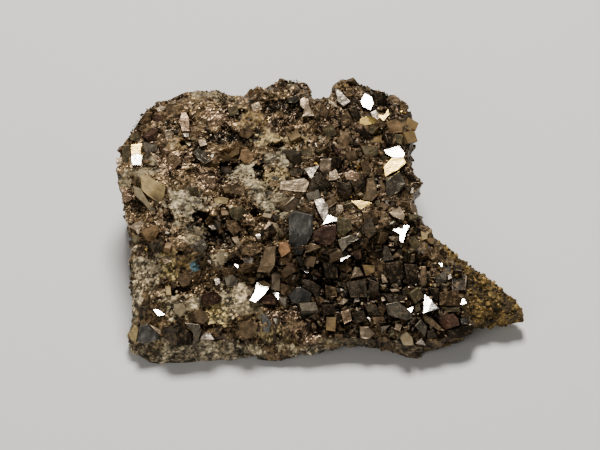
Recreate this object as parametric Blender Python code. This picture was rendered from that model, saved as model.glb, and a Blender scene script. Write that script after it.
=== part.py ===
"""Arsenopyrite specimen: a crust of intergrown metallic crystals on a slab of host rock on its flat back.

Frame: metres, +Z up, the origin on the rest plane under the middle of the specimen's box. +X runs to the
right of the display face and out to the bare tail, +Y runs away from the viewer, and the slab rests on Z = 0.

Lengths in the tables are millimetres. Many places are given on the display face: a plane through AIM, square
to the viewer's line of sight, where `right` and `up` are measured. A sight line from EYE through such a place
meets the specimen at one point, which is how the tables put a crystal or a bend of an outline where it is
seen.
"""

import math

import bmesh
import bpy
import numpy as np
from mathutils import Matrix, Vector

MM = 0.001

# The display face, from which places are measured
VIEW_ELEVATION = math.radians(50)
EYE_DISTANCE = 600.0
AIM = np.array((-5.0, -7.3, 22.0))
RIGHT = np.array((1.0, 0.0, 0.0))
UP = np.array((0.0, math.sin(VIEW_ELEVATION), math.cos(VIEW_ELEVATION)))
TOWARDS = np.array((0.0, -math.cos(VIEW_ELEVATION), math.sin(VIEW_ELEVATION)))
EYE = AIM + EYE_DISTANCE * TOWARDS
SEARCH_TOP = 42.0
SEARCH_STEP = 0.1

# Middle of the specimen's box, in the plan coordinates of these tables
ORIGIN = np.array((-0.6, 1.2, 0.0))

# Driving sizes of the slab and its crust
CENTRE = np.array((0.0, -8.0))
CRUST_THICKNESS = 4.2
CRUST_STEP = 1.6
SKIRT_DEPTH = 5.5
SKIRT_INSET = 0.02
SKIRT_CLEARANCE = 1.3
FOOT_CLEARANCE = 0.15
CRUST_CLEARANCE = 0.9
SKIRT_LEAST = 1.0
GAP = 0.4
GRID_STEPS = 22
FOOT_INSET = 0.07
FOOT_INSET_PER_MM = 0.065
CRUST_EDGE_BLEND = 0.08
ROCK_SIDE = ((0.1, 0.35), (0.0, 0.7), (-0.3, 1.0))
CRUST_SIDE = (0.5, 1.0)
ROUGH_CELLS = (7.0, 3.1)
ROUGH_ROCK = (0.68, 0.34)
ROUGH_CRUST = (0.4, 0.2)
ROCK_SEED = 3
CRUST_SEED = 29

# Edge of the rock slab: right and up on the display face, the height of the slab's underside there, and which
# border is seen. The front shows the border of its underside, the back and the sides that of its top.
ROCK_EDGE = (
    (-42.3, -31.5, 0.5, "under"), (-38.8, -33.6, 0.0, "under"), (-35.3, -34.6, 0.0, "under"),
    (-23.8, -34.0, 0.0, "under"), (-13.8, -33.2, 0.5, "under"), (-10.8, -33.8, 0.0, "under"),
    (-5.8, -34.2, 0.0, "under"), (-0.8, -32.7, 0.8, "under"), (4.3, -31.4, 1.8, "under"),
    (10.0, -30.2, 2.4, "under"), (15.0, -29.9, 2.4, "under"), (20.0, -30.6, 1.6, "under"),
    (23.5, -32.0, 0.6, "under"), (26.5, -33.2, 0.0, "under"), (30.0, -33.6, 0.0, "under"),
    (32.3, -31.6, 0.6, "under"), (35.8, -30.6, 1.4, "under"), (40.0, -28.8, 2.5, "under"),
    (44.3, -25.9, 3.4, "under"), (50.8, -25.1, 3.6, "under"), (54.8, -24.4, 3.8, "under"),
    (56.0, -23.0, 3.8, "top"), (53.8, -19.8, 3.4, "top"), (50.8, -16.3, 2.8, "top"),
    (48.0, -14.0, 2.2, "top"), (43.8, -10.8, 1.6, "top"), (40.0, -9.0, 1.2, "top"),
    (36.5, -5.5, 1.0, "top"), (33.0, -2.3, 1.0, "top"), (29.0, 0.5, 0.5, "top"),
    (27.3, 4.8, 0.5, "top"), (27.5, 11.3, 0.5, "top"), (26.0, 16.0, 0.5, "top"),
    (28.0, 22.0, 0.5, "top"), (27.5, 26.0, 0.5, "top"), (25.0, 29.5, 0.5, "top"),
    (21.0, 31.5, 0.5, "top"), (11.3, 34.0, 0.5, "top"), (7.3, 31.0, 0.5, "top"),
    (3.3, 30.0, 0.5, "top"), (1.0, 32.5, 0.5, "top"), (-2.0, 34.6, 0.5, "top"),
    (-10.0, 32.5, 0.5, "top"), (-16.0, 30.5, 0.5, "top"), (-21.0, 31.8, 0.5, "top"),
    (-32.0, 29.8, 0.5, "top"), (-37.3, 27.3, 0.5, "top"), (-41.3, 21.3, 0.5, "top"),
    (-43.8, 15.5, 0.5, "top"), (-43.8, 11.3, 0.5, "top"), (-42.8, 6.3, 0.5, "top"),
    (-41.6, 0.3, 0.5, "top"), (-41.0, -6.8, 0.5, "top"), (-41.8, -9.8, 0.5, "top"),
    (-41.0, -19.8, 0.5, "top"), (-42.6, -27.5, 1.0, "top"),
)

# Edge of the crystal crust: right and up on the display face, and its height there, or None where it lies on
# the shoulder of the relief
CRUST_EDGE = (
    (-41.0, -27.5, 6.0), (-36.5, -29.0, 5.2), (-31.0, -29.2, 5.2), (-25.0, -28.8, 5.4), (-18.0, -29.0, 5.4),
    (-12.0, -30.4, 4.8), (-5.0, -32.0, 4.0), (0.0, -30.5, 5.5), (4.3, -29.3, 6.0), (10.0, -28.4, 6.5),
    (15.0, -28.2, 6.5), (20.0, -28.8, 6.0), (23.8, -29.5, 5.5), (25.8, -27.3, 7.5), (30.0, -30.8, 4.5),
    (33.8, -30.0, 5.0), (37.5, -28.8, 5.5), (41.3, -27.3, 6.0), (43.3, -25.0, 7.0), (42.5, -21.8, 9.5),
    (42.0, -17.5, None), (40.5, -13.8, None), (37.5, -9.3, None), (34.5, -5.8, None), (31.5, -2.3, None),
    (29.5, 0.8, None), (28.0, 4.8, None), (28.7, 8.3, None), (30.6, 10.5, None), (28.5, 12.5, None),
    (27.0, 15.0, None), (26.8, 17.5, None), (27.5, 20.0, None), (28.3, 23.8, None), (27.2, 28.0, None),
    (26.0, 30.3, None), (23.5, 32.3, None), (20.8, 33.3, None), (17.5, 34.1, None), (14.3, 35.3, None),
    (10.8, 36.0, None), (8.3, 34.5, None), (7.5, 31.8, None), (5.0, 31.3, None), (3.0, 31.3, None),
    (2.5, 33.8, None), (1.0, 35.5, None), (-2.3, 36.4, None), (-5.8, 35.8, None), (-8.0, 34.5, None),
    (-12.3, 34.0, None), (-13.8, 32.0, None), (-17.3, 32.3, None), (-21.0, 33.9, None), (-28.0, 32.8, None),
    (-32.0, 31.6, None), (-35.5, 30.5, None), (-38.8, 28.8, None), (-40.8, 25.8, None), (-43.0, 22.0, None),
    (-44.8, 18.8, None), (-45.6, 15.8, None), (-45.3, 11.8, None), (-44.3, 6.8, None), (-42.8, 0.3, None),
    (-41.8, -3.3, None), (-41.6, -6.8, None), (-42.8, -9.8, None), (-41.8, -14.8, None), (-41.8, -19.8, None),
    (-41.8, -23.3, None),
)

# The ledge where the thick back block drops to the front terrace, as plan points
LEDGE_X = (-48.0, -30.0, -10.0, 2.5, 12.5, 23.5, 28.0, 62.0)
LEDGE_Y = (-16.5, -16.8, -18.0, -15.5, -11.3, -3.8, 12.0, 70.0)
LEDGE_WIDTH = 4.0
BLOCK_HEIGHT = 22.5
BLOCK_RISE = 0.115
TERRACE_HEIGHT = 8.5
TERRACE_RISE = 0.42
TERRACE_FRONT = -33.0
TAIL_START = 20.0
TAIL_FALL = 0.055
LEFT_RISE = 4.6
LEFT_START = -8.0
LEFT_WIDTH = 22.0
SHOULDER_DROP = 2.2
SHOULDER_WIDTH = 0.13
FRONT_DROP = 3.2
FRONT_DROP_Y = -24.0
FRONT_DROP_X = -4.0
FRONT_DROP_BLEND = 7.0

# Lumps and hollows of the crust: plan place, radius and height
LUMPS = (
    (-25.0, 24.5, 13.0, 2.2), (-7.0, 30.0, 8.0, 3.0), (0.3, 34.0, 3.6, -4.0), (-20.3, 34.0, 4.0, -1.5),
    (6.5, 33.0, 6.0, 2.0),
    (-23.5, 11.5, 5.0, -3.0), (-26.0, -9.0, 5.0, -3.5), (-14.5, 10.0, 4.0, -1.8), (-42.0, 3.5, 6.0, 1.2),
    (7.5, -0.7, 4.0, -1.8), (-4.0, -11.5, 7.0, 1.8), (0.0, -18.5, 5.0, -2.0), (25.0, -23.0, 7.0, 2.0),
    (17.0, 4.0, 7.0, 1.5), (20.0, 20.0, 7.0, 1.5), (-40.0, -14.0, 9.0, 2.0), (-31.0, -27.0, 6.0, 1.0),
)

# Crystal faces as they are seen on the display face: the kind of face, which says how it is turned, and the
# right and up of each corner in turn
CRYSTAL_FACES = (
    ("bright", -42.2, 17.3, -40.8, 17.9, -39.5, 17.4, -39.8, 15.0, -41.9, 15.0),
    ("gold", -42.3, 20.1, -39.5, 20.4, -39.5, 17.5, -40.8, 18.0, -42.1, 17.4),
    ("olive", -44.1, 19.7, -42.3, 20.1, -42.2, 16.6, -41.9, 15.0, -43.5, 13.3, -44.4, 16.9),
    ("tan", -46.0, 16.8, -44.6, 17.1, -44.6, 15.1, -45.2, 14.4, -46.0, 15.4),
    ("red", -35.7, 27.9, -34.3, 26.9, -35.1, 24.8, -37.7, 25.2, -36.6, 26.9),
    ("red", -39.3, 22.6, -36.9, 24.3, -35.5, 24.0, -35.8, 21.6, -36.0, 20.1, -38.2, 21.0),
    ("tan", -36.2, 29.1, -34.9, 30.0, -33.3, 29.9, -34.0, 28.0, -35.2, 28.2),
    ("tan", -33.5, 31.2, -32.3, 30.8, -31.0, 31.5, -30.9, 29.2, -31.9, 29.4),
    ("brown", -33.3, 29.8, -30.4, 29.0, -31.0, 26.9, -32.9, 26.3, -33.5, 27.9),
    ("tan", -34.0, 23.7, -32.4, 23.8, -31.5, 22.9, -32.6, 20.2, -33.7, 21.9),
    ("steel", -32.3, 24.0, -30.5, 23.8, -30.4, 23.2, -31.3, 22.4),
    ("pink", -29.7, 28.2, -28.5, 28.3, -27.6, 26.3, -27.6, 23.5, -29.4, 23.5, -30.4, 26.0),
    ("silver", -29.3, 22.9, -27.6, 23.0, -28.0, 21.9, -29.0, 22.1),
    ("brown", -40.4, 25.7, -38.7, 28.2, -36.9, 28.2, -37.6, 25.4, -38.8, 24.7),
    ("olive", -42.9, 22.2, -41.3, 23.2, -39.9, 23.0, -40.0, 21.0, -42.2, 21.0),
    ("steel", -39.3, 21.0, -35.7, 19.9, -35.7, 18.5, -38.2, 17.7, -39.4, 19.7),
    ("steel", -26.9, 18.2, -25.5, 19.3, -23.8, 18.2, -22.2, 16.0, -23.7, 15.2, -26.0, 16.9),
    ("silver", -23.3, 17.7, -21.3, 17.9, -21.8, 16.8),
    ("ochre", -20.4, 16.9, -17.9, 17.6, -16.0, 19.4, -15.1, 19.4, -15.2, 17.9, -17.6, 16.5, -19.4, 15.5),
    ("rust", -14.7, 18.8, -12.9, 19.1, -11.8, 17.6, -11.9, 16.0, -13.8, 15.4, -15.1, 16.6),
    ("dark", -19.6, 14.7, -17.2, 14.6, -17.1, 12.9, -18.8, 12.2, -20.0, 13.5),
    ("tan", 0.0, 31.6, 1.0, 32.1, 2.0, 31.8, 2.4, 29.8, 3.5, 27.3, 0.6, 27.1, 1.3, 28.8, 0.0, 29.8),
    ("steel", -3.0, 31.9, -0.7, 32.6, -0.1, 31.3, -1.3, 30.5, -2.9, 30.7),
    ("silver", 9.0, 34.1, 10.1, 33.5, 12.6, 31.0, 10.9, 29.6, 9.3, 31.0),
    ("tan", 7.0, 31.6, 9.0, 30.5, 9.3, 29.4, 7.4, 29.7),
    ("bronze", 11.7, 28.7, 12.9, 26.9, 14.0, 24.0, 10.2, 24.9, 10.2, 26.9),
    ("dark", 12.3, 29.0, 14.0, 29.7, 15.6, 26.6, 14.9, 23.5, 14.0, 24.7),
    ("dark", 13.1, 32.1, 14.5, 31.8, 14.9, 29.9, 13.1, 29.9),
    ("bright", 15.2, 31.0, 16.2, 32.9, 17.9, 32.1, 18.4, 30.5, 17.6, 28.8, 15.6, 29.7),
    ("silver", 17.6, 28.2, 19.0, 28.8, 19.9, 27.6, 19.8, 26.3, 18.4, 26.5),
    ("gold", 19.5, 27.6, 21.5, 27.4, 22.1, 29.1, 22.3, 27.6, 20.9, 26.1, 19.8, 26.5),
    ("dark", 18.5, 33.2, 21.5, 32.1, 22.1, 29.7, 20.2, 29.0, 18.7, 30.4),
    ("rust", 21.7, 25.7, 24.0, 26.5, 25.7, 25.2, 25.6, 23.2, 22.1, 23.0),
    ("ochre", 18.4, 21.9, 20.4, 22.6, 20.4, 20.7, 18.1, 20.7),
    ("dark", 14.9, 23.5, 17.1, 23.8, 18.1, 21.6, 16.2, 21.0),
    ("brown", 9.9, 23.5, 12.1, 23.2, 12.7, 21.0, 11.5, 18.5, 9.6, 19.7),
    ("olive", 15.2, 19.7, 19.0, 19.9, 19.8, 17.9, 18.0, 16.6, 16.2, 17.3),
    ("bright", 20.9, 18.8, 24.9, 20.0, 26.2, 17.9, 25.9, 17.0, 23.4, 16.9, 21.8, 17.7),
    ("gold", 22.9, 16.8, 25.9, 16.8, 26.5, 15.7, 24.9, 14.1, 21.3, 12.1, 20.9, 14.4),
    ("tan", 5.1, 16.5, 7.9, 16.6, 7.6, 13.2, 6.3, 12.2, 4.8, 14.1),
    ("silver", 1.0, 14.1, 4.8, 14.9, 2.8, 11.4),
    ("dark", 8.1, 16.9, 10.2, 16.8, 10.6, 14.7, 8.1, 13.5),
    ("tan", 7.4, 13.2, 9.0, 14.0, 10.1, 11.9, 9.0, 11.2, 7.1, 11.2),
    ("pink", 11.2, 12.6, 12.7, 13.8, 14.9, 12.6, 14.9, 11.0, 11.5, 11.3),
    ("brown", 15.2, 15.4, 17.1, 16.0, 18.1, 12.6, 15.9, 12.2),
    ("silver", 3.8, 20.5, 5.1, 20.7, 5.2, 19.1, 4.0, 19.7),
    ("red", 8.1, 19.4, 9.9, 19.1, 10.9, 17.2, 9.0, 17.9),
    ("olive", -0.1, 18.5, 2.7, 19.4, 3.1, 17.2, 0.9, 16.6),
    ("dark", -2.7, 13.5, -0.1, 14.7, 1.0, 13.5, 0.0, 11.9, -2.2, 12.2),
    ("brown", 0.6, 15.4, 2.7, 16.3, 3.7, 15.7, 1.5, 14.7),
    ("tan", -4.9, 10.9, 1.0, 11.9, 2.3, 10.8, 1.5, 8.2, -5.1, 8.8),
    ("brown", -5.0, 8.5, 1.3, 8.0, -0.1, 6.7, -2.6, 6.9),
    ("dark", 2.8, 11.6, 5.1, 13.0, 8.0, 10.0, 6.5, 8.8, 2.0, 8.2),
    ("steel", 1.4, 7.8, 4.6, 8.9, 5.2, 7.0, 2.1, 5.9),
    ("silver", 3.5, 6.4, 5.6, 6.8, 7.1, 4.7, 7.0, 2.5, 6.0, 0.5, 4.6, 3.4),
    ("bright", 7.0, 2.5, 9.8, 1.7, 9.5, 1.2, 5.7, 0.2, 6.4, 1.4),
    ("tan", 9.0, 5.0, 10.6, 5.0, 11.0, 3.7, 9.8, 2.2, 9.0, 2.8),
    ("dark", 7.2, 4.2, 8.8, 4.5, 8.9, 3.0, 7.5, 2.6),
    ("slate", -2.8, 2.2, -1.2, 3.4, 3.1, 2.4, 3.2, -1.8, 0.4, -7.4, -1.2, -7.2, -2.7, -4.6),
    ("brown", -1.3, 3.5, 1.5, 4.7, 3.4, 4.1, 4.3, 1.9, 3.6, 1.4, 2.4, 3.2),
    ("red", 3.5, -1.6, 5.9, -0.3, 9.0, 0.0, 8.9, -3.5, 7.4, -5.0, 5.0, -4.8, 2.8, -3.6),
    ("bronze", 2.3, -4.4, 4.8, -5.1, 5.2, -5.6, 2.4, -6.7, 1.0, -7.1),
    ("olive", 9.3, 1.9, 12.7, 1.6, 13.1, -0.9, 10.6, -3.1, 9.2, -1.9),
    ("steel", 9.3, -3.7, 12.7, -2.5, 14.9, -3.4, 12.1, -5.0, 10.6, -6.6),
    ("amber", -5.1, -4.4, -3.2, -4.2, -2.4, -6.6, -4.6, -8.1, -5.4, -6.2),
    ("bronze", -8.7, -5.6, -6.0, -5.3, -6.3, -10.0, -7.6, -11.9, -10.8, -11.7, -9.8, -8.8),
    ("bright", 9.8, -6.9, 11.5, -6.2, 12.6, -7.8, 10.2, -9.1),
    ("red", 12.9, -6.6, 15.2, -5.9, 15.4, -8.4, 14.0, -8.7),
    ("gold", 12.7, 6.1, 15.6, 6.1, 18.1, 5.5, 15.1, 3.9),
    ("bronze", 16.8, 11.6, 18.4, 11.9, 19.5, 7.5, 18.0, 5.9, 15.4, 6.4, 16.5, 8.4),
    ("dark", 14.9, 11.9, 16.6, 11.2, 16.3, 8.6, 14.0, 7.6, 13.2, 9.7),
    ("steel", 21.5, 11.2, 24.9, 13.4, 26.5, 10.3, 24.9, 8.4, 22.1, 6.9, 21.5, 8.4),
    ("brown", 19.9, 10.9, 21.2, 10.3, 21.8, 7.2, 20.0, 6.2),
    ("dark", 9.2, 11.2, 12.7, 10.0, 13.1, 6.9, 10.9, 5.9, 9.3, 8.1),
    ("bright", 22.4, -0.8, 23.4, 0.2, 27.4, -0.1, 26.3, -2.2, 25.7, -4.5, 24.9, -4.0, 25.0, -2.3),
    ("tan", 21.8, -2.8, 24.7, -2.8, 24.6, -4.0, 22.8, -3.9),
    ("bronze", 20.2, 3.7, 22.0, 2.8, 22.2, 0.0, 19.9, -0.9),
    ("tan", 22.1, 3.1, 25.2, 4.5, 26.2, 2.5, 25.9, 1.2, 23.1, 2.2),
    ("silver", 21.2, 6.2, 22.4, 6.2, 22.1, 5.4, 21.3, 5.4),
    ("steel", 20.9, -5.0, 22.1, -5.6, 23.5, -8.6, 20.6, -9.2),
    ("ochre", 15.6, -10.0, 18.7, -10.2, 18.7, -11.9, 16.5, -12.9),
    ("sand", -39.9, 12.2, -38.3, 12.3, -36, 10.9, -33.7, 9.8, -34, 7.5, -35.2, 5.2, -37.6, 7, -39.6, 8.7),
    ("gangue", -41.6, 9.7, -39.9, 9.1, -38.2, 6.2, -36.0, 3.0, -37.1, 3.0, -39.3, 5.6, -41.3, 7.5),
    ("pink", -44.4, 7.8, -42.6, 8.1, -41.9, 6.6, -43.5, 5.5, -44.6, 6.6),
    ("tan", -42.9, -0.2, -39.7, 1.2, -38.7, 0.3, -39.6, -1.2, -40.4, -2.5, -41.3, -1.2),
    ("olive", -42.2, -2.8, -40.4, -2.6, -39.9, -4.5, -41.6, -4.4),
    ("rust", -39.6, -1.6, -35.7, 0.0, -35.1, -1.6, -36.6, -4.4, -38.5, -3.7),
    ("dark", -38.2, -4.7, -34.7, -3.1, -33.8, -4.7, -35.0, -6.6, -36.9, -6.6),
    ("pink", -25.0, 11.9, -21.3, 12.2, -21.0, 9.7, -21.6, 8.6, -24.4, 10.3),
    ("sand", -21.6, 6.6, -19.4, 7.0, -17.9, 6.6, -18.2, 5.2, -21.3, 5.2),
    ("bronze", -19.7, 9.9, -15.0, 10.1, -12.9, 8.2, -13.4, 7.3, -18.8, 8.0),
    ("olive", -17.9, 4.4, -14.7, 4.8, -12.9, 3.1, -14.7, 0.6, -17.2, 1.9),
    ("brown", -18.5, 1.2, -16.0, 1.2, -14.7, -1.2, -16.6, -2.8, -18.2, -0.9),
    ("tan", -17.2, -3.1, -15.7, -2.8, -14.7, -5.0, -15.4, -5.9),
    ("silver", -23.0, -0.3, -21.6, 0.0, -20.8, -1.1, -21.9, -1.2),
    ("brown", -14.7, -5.3, -11.0, -4.7, -9.7, -6.6, -11.6, -7.8, -14.7, -7.2),
    ("silver", -14.7, -8.1, -11.3, -8.1, -12.2, -9.7, -13.8, -9.4),
    ("gangue", -20.7, -6.6, -19.1, -6.2, -18.8, -9.4, -20.0, -10.0, -21.0, -8.1),
    ("bright", -36.9, -21.0, -35.4, -21.2, -33.7, -22.4, -35.5, -22.8),
    ("slate", -40.1, -25.4, -38.2, -24.8, -35.1, -27.6, -35.2, -28.6, -39.0, -29.7, -40.8, -29.2),
    ("tan", -37.8, -24.8, -36.3, -25.4, -34.7, -26.3, -34.9, -27.4, -36.2, -26.5),
    ("slate", -40.4, -20.4, -38.5, -20.4, -38.2, -24.4, -39.7, -25.0, -40.4, -22.9),
    ("sand", -42.9, -27.2, -41.3, -25.0, -40.3, -25.6, -41.0, -29.1, -42.2, -28.8),
    ("dark", -34.1, -25.7, -30.4, -24.7, -27.0, -27.2, -27.2, -30.0, -31.9, -30.4, -33.8, -28.2),
    ("steel", -28.7, -24.5, -25.0, -24.9, -24.8, -27.0, -25.6, -29.2, -26.8, -29.5, -26.7, -27.1),
    ("silver", -24.4, -26.0, -22.7, -26.3, -21.5, -28.7, -25.0, -28.5),
    ("brown", -28.5, -22.2, -24.7, -21.0, -22.9, -23.5, -24.1, -24.7, -27.9, -23.8),
    ("red", -24.7, -17.6, -21.6, -16.5, -19.4, -18.2, -20.4, -19.7, -23.5, -19.7),
    ("bright", -10.8, -14.3, -9.1, -13.8, -7.2, -14.9, -8.8, -17.2, -11.2, -19.4, -12.6, -18.8, -11.4, -16.8),
    ("tan", -13.5, -16.0, -11.5, -15.7, -12.2, -17.6, -13.2, -17.6),
    ("bright", -7.1, -16.8, -5.2, -16.8, -5.4, -18.7, -6.3, -17.6),
    ("red", -10.4, -17.7, -7.0, -17.4, -5.4, -18.9, -6.0, -20.0, -10.2, -19.5),
    ("tan", -7.1, -12.2, -6.3, -11.6, -4.9, -11.9, -5.1, -16.5, -7.2, -16.0),
    ("slate", -9.7, -22.2, -8.2, -22.6, -7.1, -24.7, -7.9, -27.1, -9.1, -26.6, -9.6, -24.4),
    ("olive", -11.0, -20.5, -9.8, -20.6, -8.9, -22.2, -9.9, -24.0, -11.0, -23.0),
    ("slate", -2.9, -17.6, -1.0, -15.7, 0.2, -15.5, 2.9, -17.2, 2.4, -20.0, -0.1, -20.0, -2.2, -19.1),
    ("brown", -4.9, -14.4, -1.3, -15.6, -3.1, -17.7, -4.9, -17.2),
    ("dark", -0.1, -13.5, 2.7, -13.8, 5.2, -15.4, 4.6, -19.1, 3.2, -17.1, 0.6, -15.3),
    ("ochre", 6.5, -23.0, 9.0, -23.2, 8.8, -26.6, 6.5, -26.3),
    ("brown", 6.3, -15.0, 9.0, -15.7, 9.3, -17.9, 6.5, -18.2),
    ("dark", 5.2, -20.0, 8.7, -20.0, 9.0, -22.2, 5.9, -22.7),
    ("dark", 11.5, -14.4, 16.5, -13.5, 16.8, -18.1, 12.7, -18.1),
    ("dark", 17.1, -13.5, 19.6, -14.4, 19.9, -18.8, 17.2, -19.0),
    ("tan", 13.7, -10.4, 14.9, -10.7, 15.9, -12.7, 12.7, -13.4),
    ("tan", 20.2, -12.1, 21.2, -12.6, 22.1, -14.4, 20.6, -14.4),
    ("silver", 13.7, -18.3, 14.8, -18.2, 14.9, -19.1, 13.4, -19.4),
    ("tan", 9.3, -19.7, 10.9, -18.3, 12.1, -18.8, 10.9, -19.9),
    ("bright", 4.3, -14.9, 5.2, -15.3, 5.1, -16.3, 4.3, -16.0),
    ("bright", 0.6, -11.3, 1.5, -10.4, 2.4, -11.6, 1.8, -12.1),
    ("silver", 9.8, -16.0, 11.0, -15.8, 10.6, -16.6),
    ("silver", 3.2, -12.6, 4.0, -12.6, 4.2, -13.7, 3.2, -13.6),
    ("dark", 21.4, -9.6, 25.7, -9.0, 25.9, -13.5, 22.6, -14.7),
    ("dark", 26.1, -9.8, 29.3, -10.0, 29.6, -14.5, 27.0, -15.4),
    ("steel", 21.5, -19.8, 24.5, -19.3, 27.5, -21.5, 28.2, -23.2, 26.5, -23.9, 22.0, -22.4),
    ("dark", 20.9, -17.2, 24.3, -17.2, 26.5, -17.9, 26.2, -19.3, 22.1, -19.2),
    ("tan", 22.5, -16.0, 24.8, -15.9, 25.0, -16.6, 23.0, -16.8),
    ("tan", 14.9, -25.4, 17.1, -25.4, 18.7, -27.2, 17.1, -28.5, 15.2, -28.2),
    ("brown", 17.9, -23.0, 20.9, -23.0, 21.5, -24.4, 18.4, -24.7),
    ("steel", 20.2, -25.4, 22.7, -25.0, 20.2, -27.2),
    ("silver", 16.8, -22.9, 17.7, -23.3, 17.6, -24.3),
    ("pink", 10.2, -21.6, 12.4, -21.0, 13.0, -23.8, 11.0, -24.8),
    ("dark", 13.0, -22.2, 15.9, -21.4, 16.8, -23.9, 14.0, -24.7),
    ("dark", 15.9, -19.8, 19.0, -19.9, 20.2, -22.7, 17.1, -22.5),
    ("bright", 31.2, -17.2, 34.8, -20.7, 30.7, -22.1),
    ("bright", 25.6, -21.2, 28.5, -20.5, 27.6, -22.4),
    ("olive", 28.7, -20.1, 29.8, -19.4, 30.2, -21.3, 28.9, -21.9),
    ("bright", 40.7, -18.0, 41.8, -19.6, 40.1, -19.9),
    ("brown", 34.9, -16.9, 39.6, -16.3, 40.0, -19.1, 39.9, -20.4, 34.9, -20.0),
    ("olive", 34.9, -20.4, 39.9, -20.7, 40.2, -21.8, 36.5, -21.6),
    ("dark", 32.1, -15.7, 34.7, -16.0, 34.7, -19.4, 33.4, -18.5),
    ("bronze", 30.4, -10.4, 31.5, -10.4, 31.7, -15.0, 29.9, -15.7, 29.9, -12.9),
    ("steel", 33.1, -13.8, 35.9, -11.6, 36.8, -12.2, 36.5, -14.1, 34.9, -14.9),
    ("silver", 37.0, -12.6, 37.7, -12.2, 38.0, -13.2, 37.1, -13.7),
    ("bronze", 30.7, -22.6, 32.7, -23.1, 36.2, -26.4, 34.6, -26.3, 31.2, -24.1),
    ("red", 33.0, -22.9, 38.4, -22.2, 39.6, -23.5, 39.9, -25.0, 36.4, -26.2),
    ("slate", 40.0, -23.4, 42.1, -23.2, 42.0, -24.7, 40.3, -24.8),
    ("dark", 36.8, -26.6, 40.2, -25.4, 43.8, -25.4, 43.0, -27.4, 39.6, -28.4, 37.4, -28.2),
    ("silver", 30.4, -28.2, 31.5, -30.1, 28.8, -29.6),
    ("gangue", 24.9, -27.9, 26.5, -26.5, 28.1, -28.2, 28.4, -30.1, 25.9, -30.1),
    ("dark", 31.5, -26.6, 33.4, -26.0, 34.3, -27.9, 32.1, -29.1),
    ("steel", 28.7, -25.2, 30.2, -23.5, 31.9, -25.4, 31.2, -27.9),
    ("silver", 27.1, 9.1, 28.5, 9.4, 28.4, 8.0, 26.7, 7.8),
    ("dark", 25.2, 12.8, 28.0, 12.6, 29.4, 10.6, 27.1, 10.3),
    ("bright", 34.6, -9.5, 35.7, -9.5, 35.5, -10.6),
    ("olive", 27.1, -4.1, 28.7, -2.8, 29.9, -4.4, 29.3, -6.2, 28.1, -6.2),
    ("sand", 30.2, -1.6, 32.0, -2.1, 31.8, -3.4, 30.6, -3.7),
    ("brown", 33.4, -5.0, 34.6, -4.9, 35.2, -8.1, 33.7, -8.7),
    ("brown", -15.1, 24.0, -12.7, 24.4, -11.6, 22.9, -13.0, 21.6, -15.4, 22.2),
    ("tan", 24.0, -24.6, 25.6, -24.9, 25.0, -26.6, 23.6, -26.0),
    ("brown", 15.6, 3.4, 19.6, 3.6, 19.4, 0.2, 16.2, -0.2),
    ("brown", 11.2, 17.9, 13.6, 18.7, 14.6, 16.6, 12.0, 15.6),
    ("dark", 17.2, 2.9, 15.0, -1.4, 17.2, -3.5, 19.3, -1.6),
    ("olive", 5.4, 24.5, 8.4, 25.0, 9.2, 22.4, 6.3, 21.6),
    ("dark", 5.6, -9.2, 9.2, -9.6, 9.5, -13.2, 6.3, -13.4),
    ("brown", 5.4, 30.4, 7.4, 28.7, 6.6, 26.6, 4.6, 27.6),
)

# How a face is turned, by kind: the least and the most lean up, and the most lean to either side, in degrees.
# Each face's own lean is spread between them by its number and these steps.
LEANS = {
    "bright": (30, 33, 2), "gold": (22, 27, 4), "silver": (14, 24, 8), "tan": (2, 20, 12),
    "sand": (0, 15, 10), "pink": (5, 25, 10), "gangue": (0, 15, 10), "dark": (-18, 2, 12),
    "slate": (-8, 0, 6),
}
OTHER_LEAN = (-12, 10, 14)
LEAN_STEPS = (0.618, 0.755)

# Crystals behind those faces: how far they stand proud, how deep they reach, how their sides spread, and the
# smallest face that makes a solid crystal, in square millimetres
STAND = (0.34, 0.3)
MOST_STAND = 1.9
DEPTH = (0.6, 1.0)
DEEPEST = 6.5
SPREAD = 1.08
SMALLEST_FACE = 5.0

CRUST_FINISH = ((0.20, 0.165, 0.125), 0.36, 0.9)
ROCK_FINISH = ((0.42, 0.34, 0.20), 0.9, 0.0)


def sight_point(right, up, height):
    """Where the sight line through a place on the display face passes a given height."""
    ray = AIM + right * RIGHT + up * UP - EYE
    return EYE + ray * ((height - EYE[2]) / ray[2])


def value_noise(points, cell, seed):
    """Smooth noise from -1 to 1: random values on a lattice of cubes, blended smoothly along each axis."""
    scaled = np.asarray(points, float) / cell
    base = np.floor(scaled).astype(np.int64)
    part = scaled - base
    part = part * part * (3 - 2 * part)
    total = np.zeros(len(scaled))
    for corner in np.ndindex(2, 2, 2):
        cube = base + corner
        mixed = cube[:, 0] * 374761393 + cube[:, 1] * 668265263 + cube[:, 2] * 362437 + seed * 144665
        mixed = (mixed ^ (mixed >> 13)) * 1274126177
        value = ((mixed ^ (mixed >> 16)) & 0xFFFF) / 32767.5 - 1
        weight = np.where(corner, part, 1 - part).prod(axis=1)
        total += weight * value
    return total


def smooth(value):
    """A step from 0 to 1 with level ends."""
    value = np.clip(value, 0, 1)
    return value * value * (3 - 2 * value)


def front_rim(x, y):
    """How far a place belongs to the lower front rim on the left: 0 to 1."""
    return smooth((FRONT_DROP_Y - y) / FRONT_DROP_BLEND) * smooth((FRONT_DROP_X - x) / FRONT_DROP_BLEND)


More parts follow.
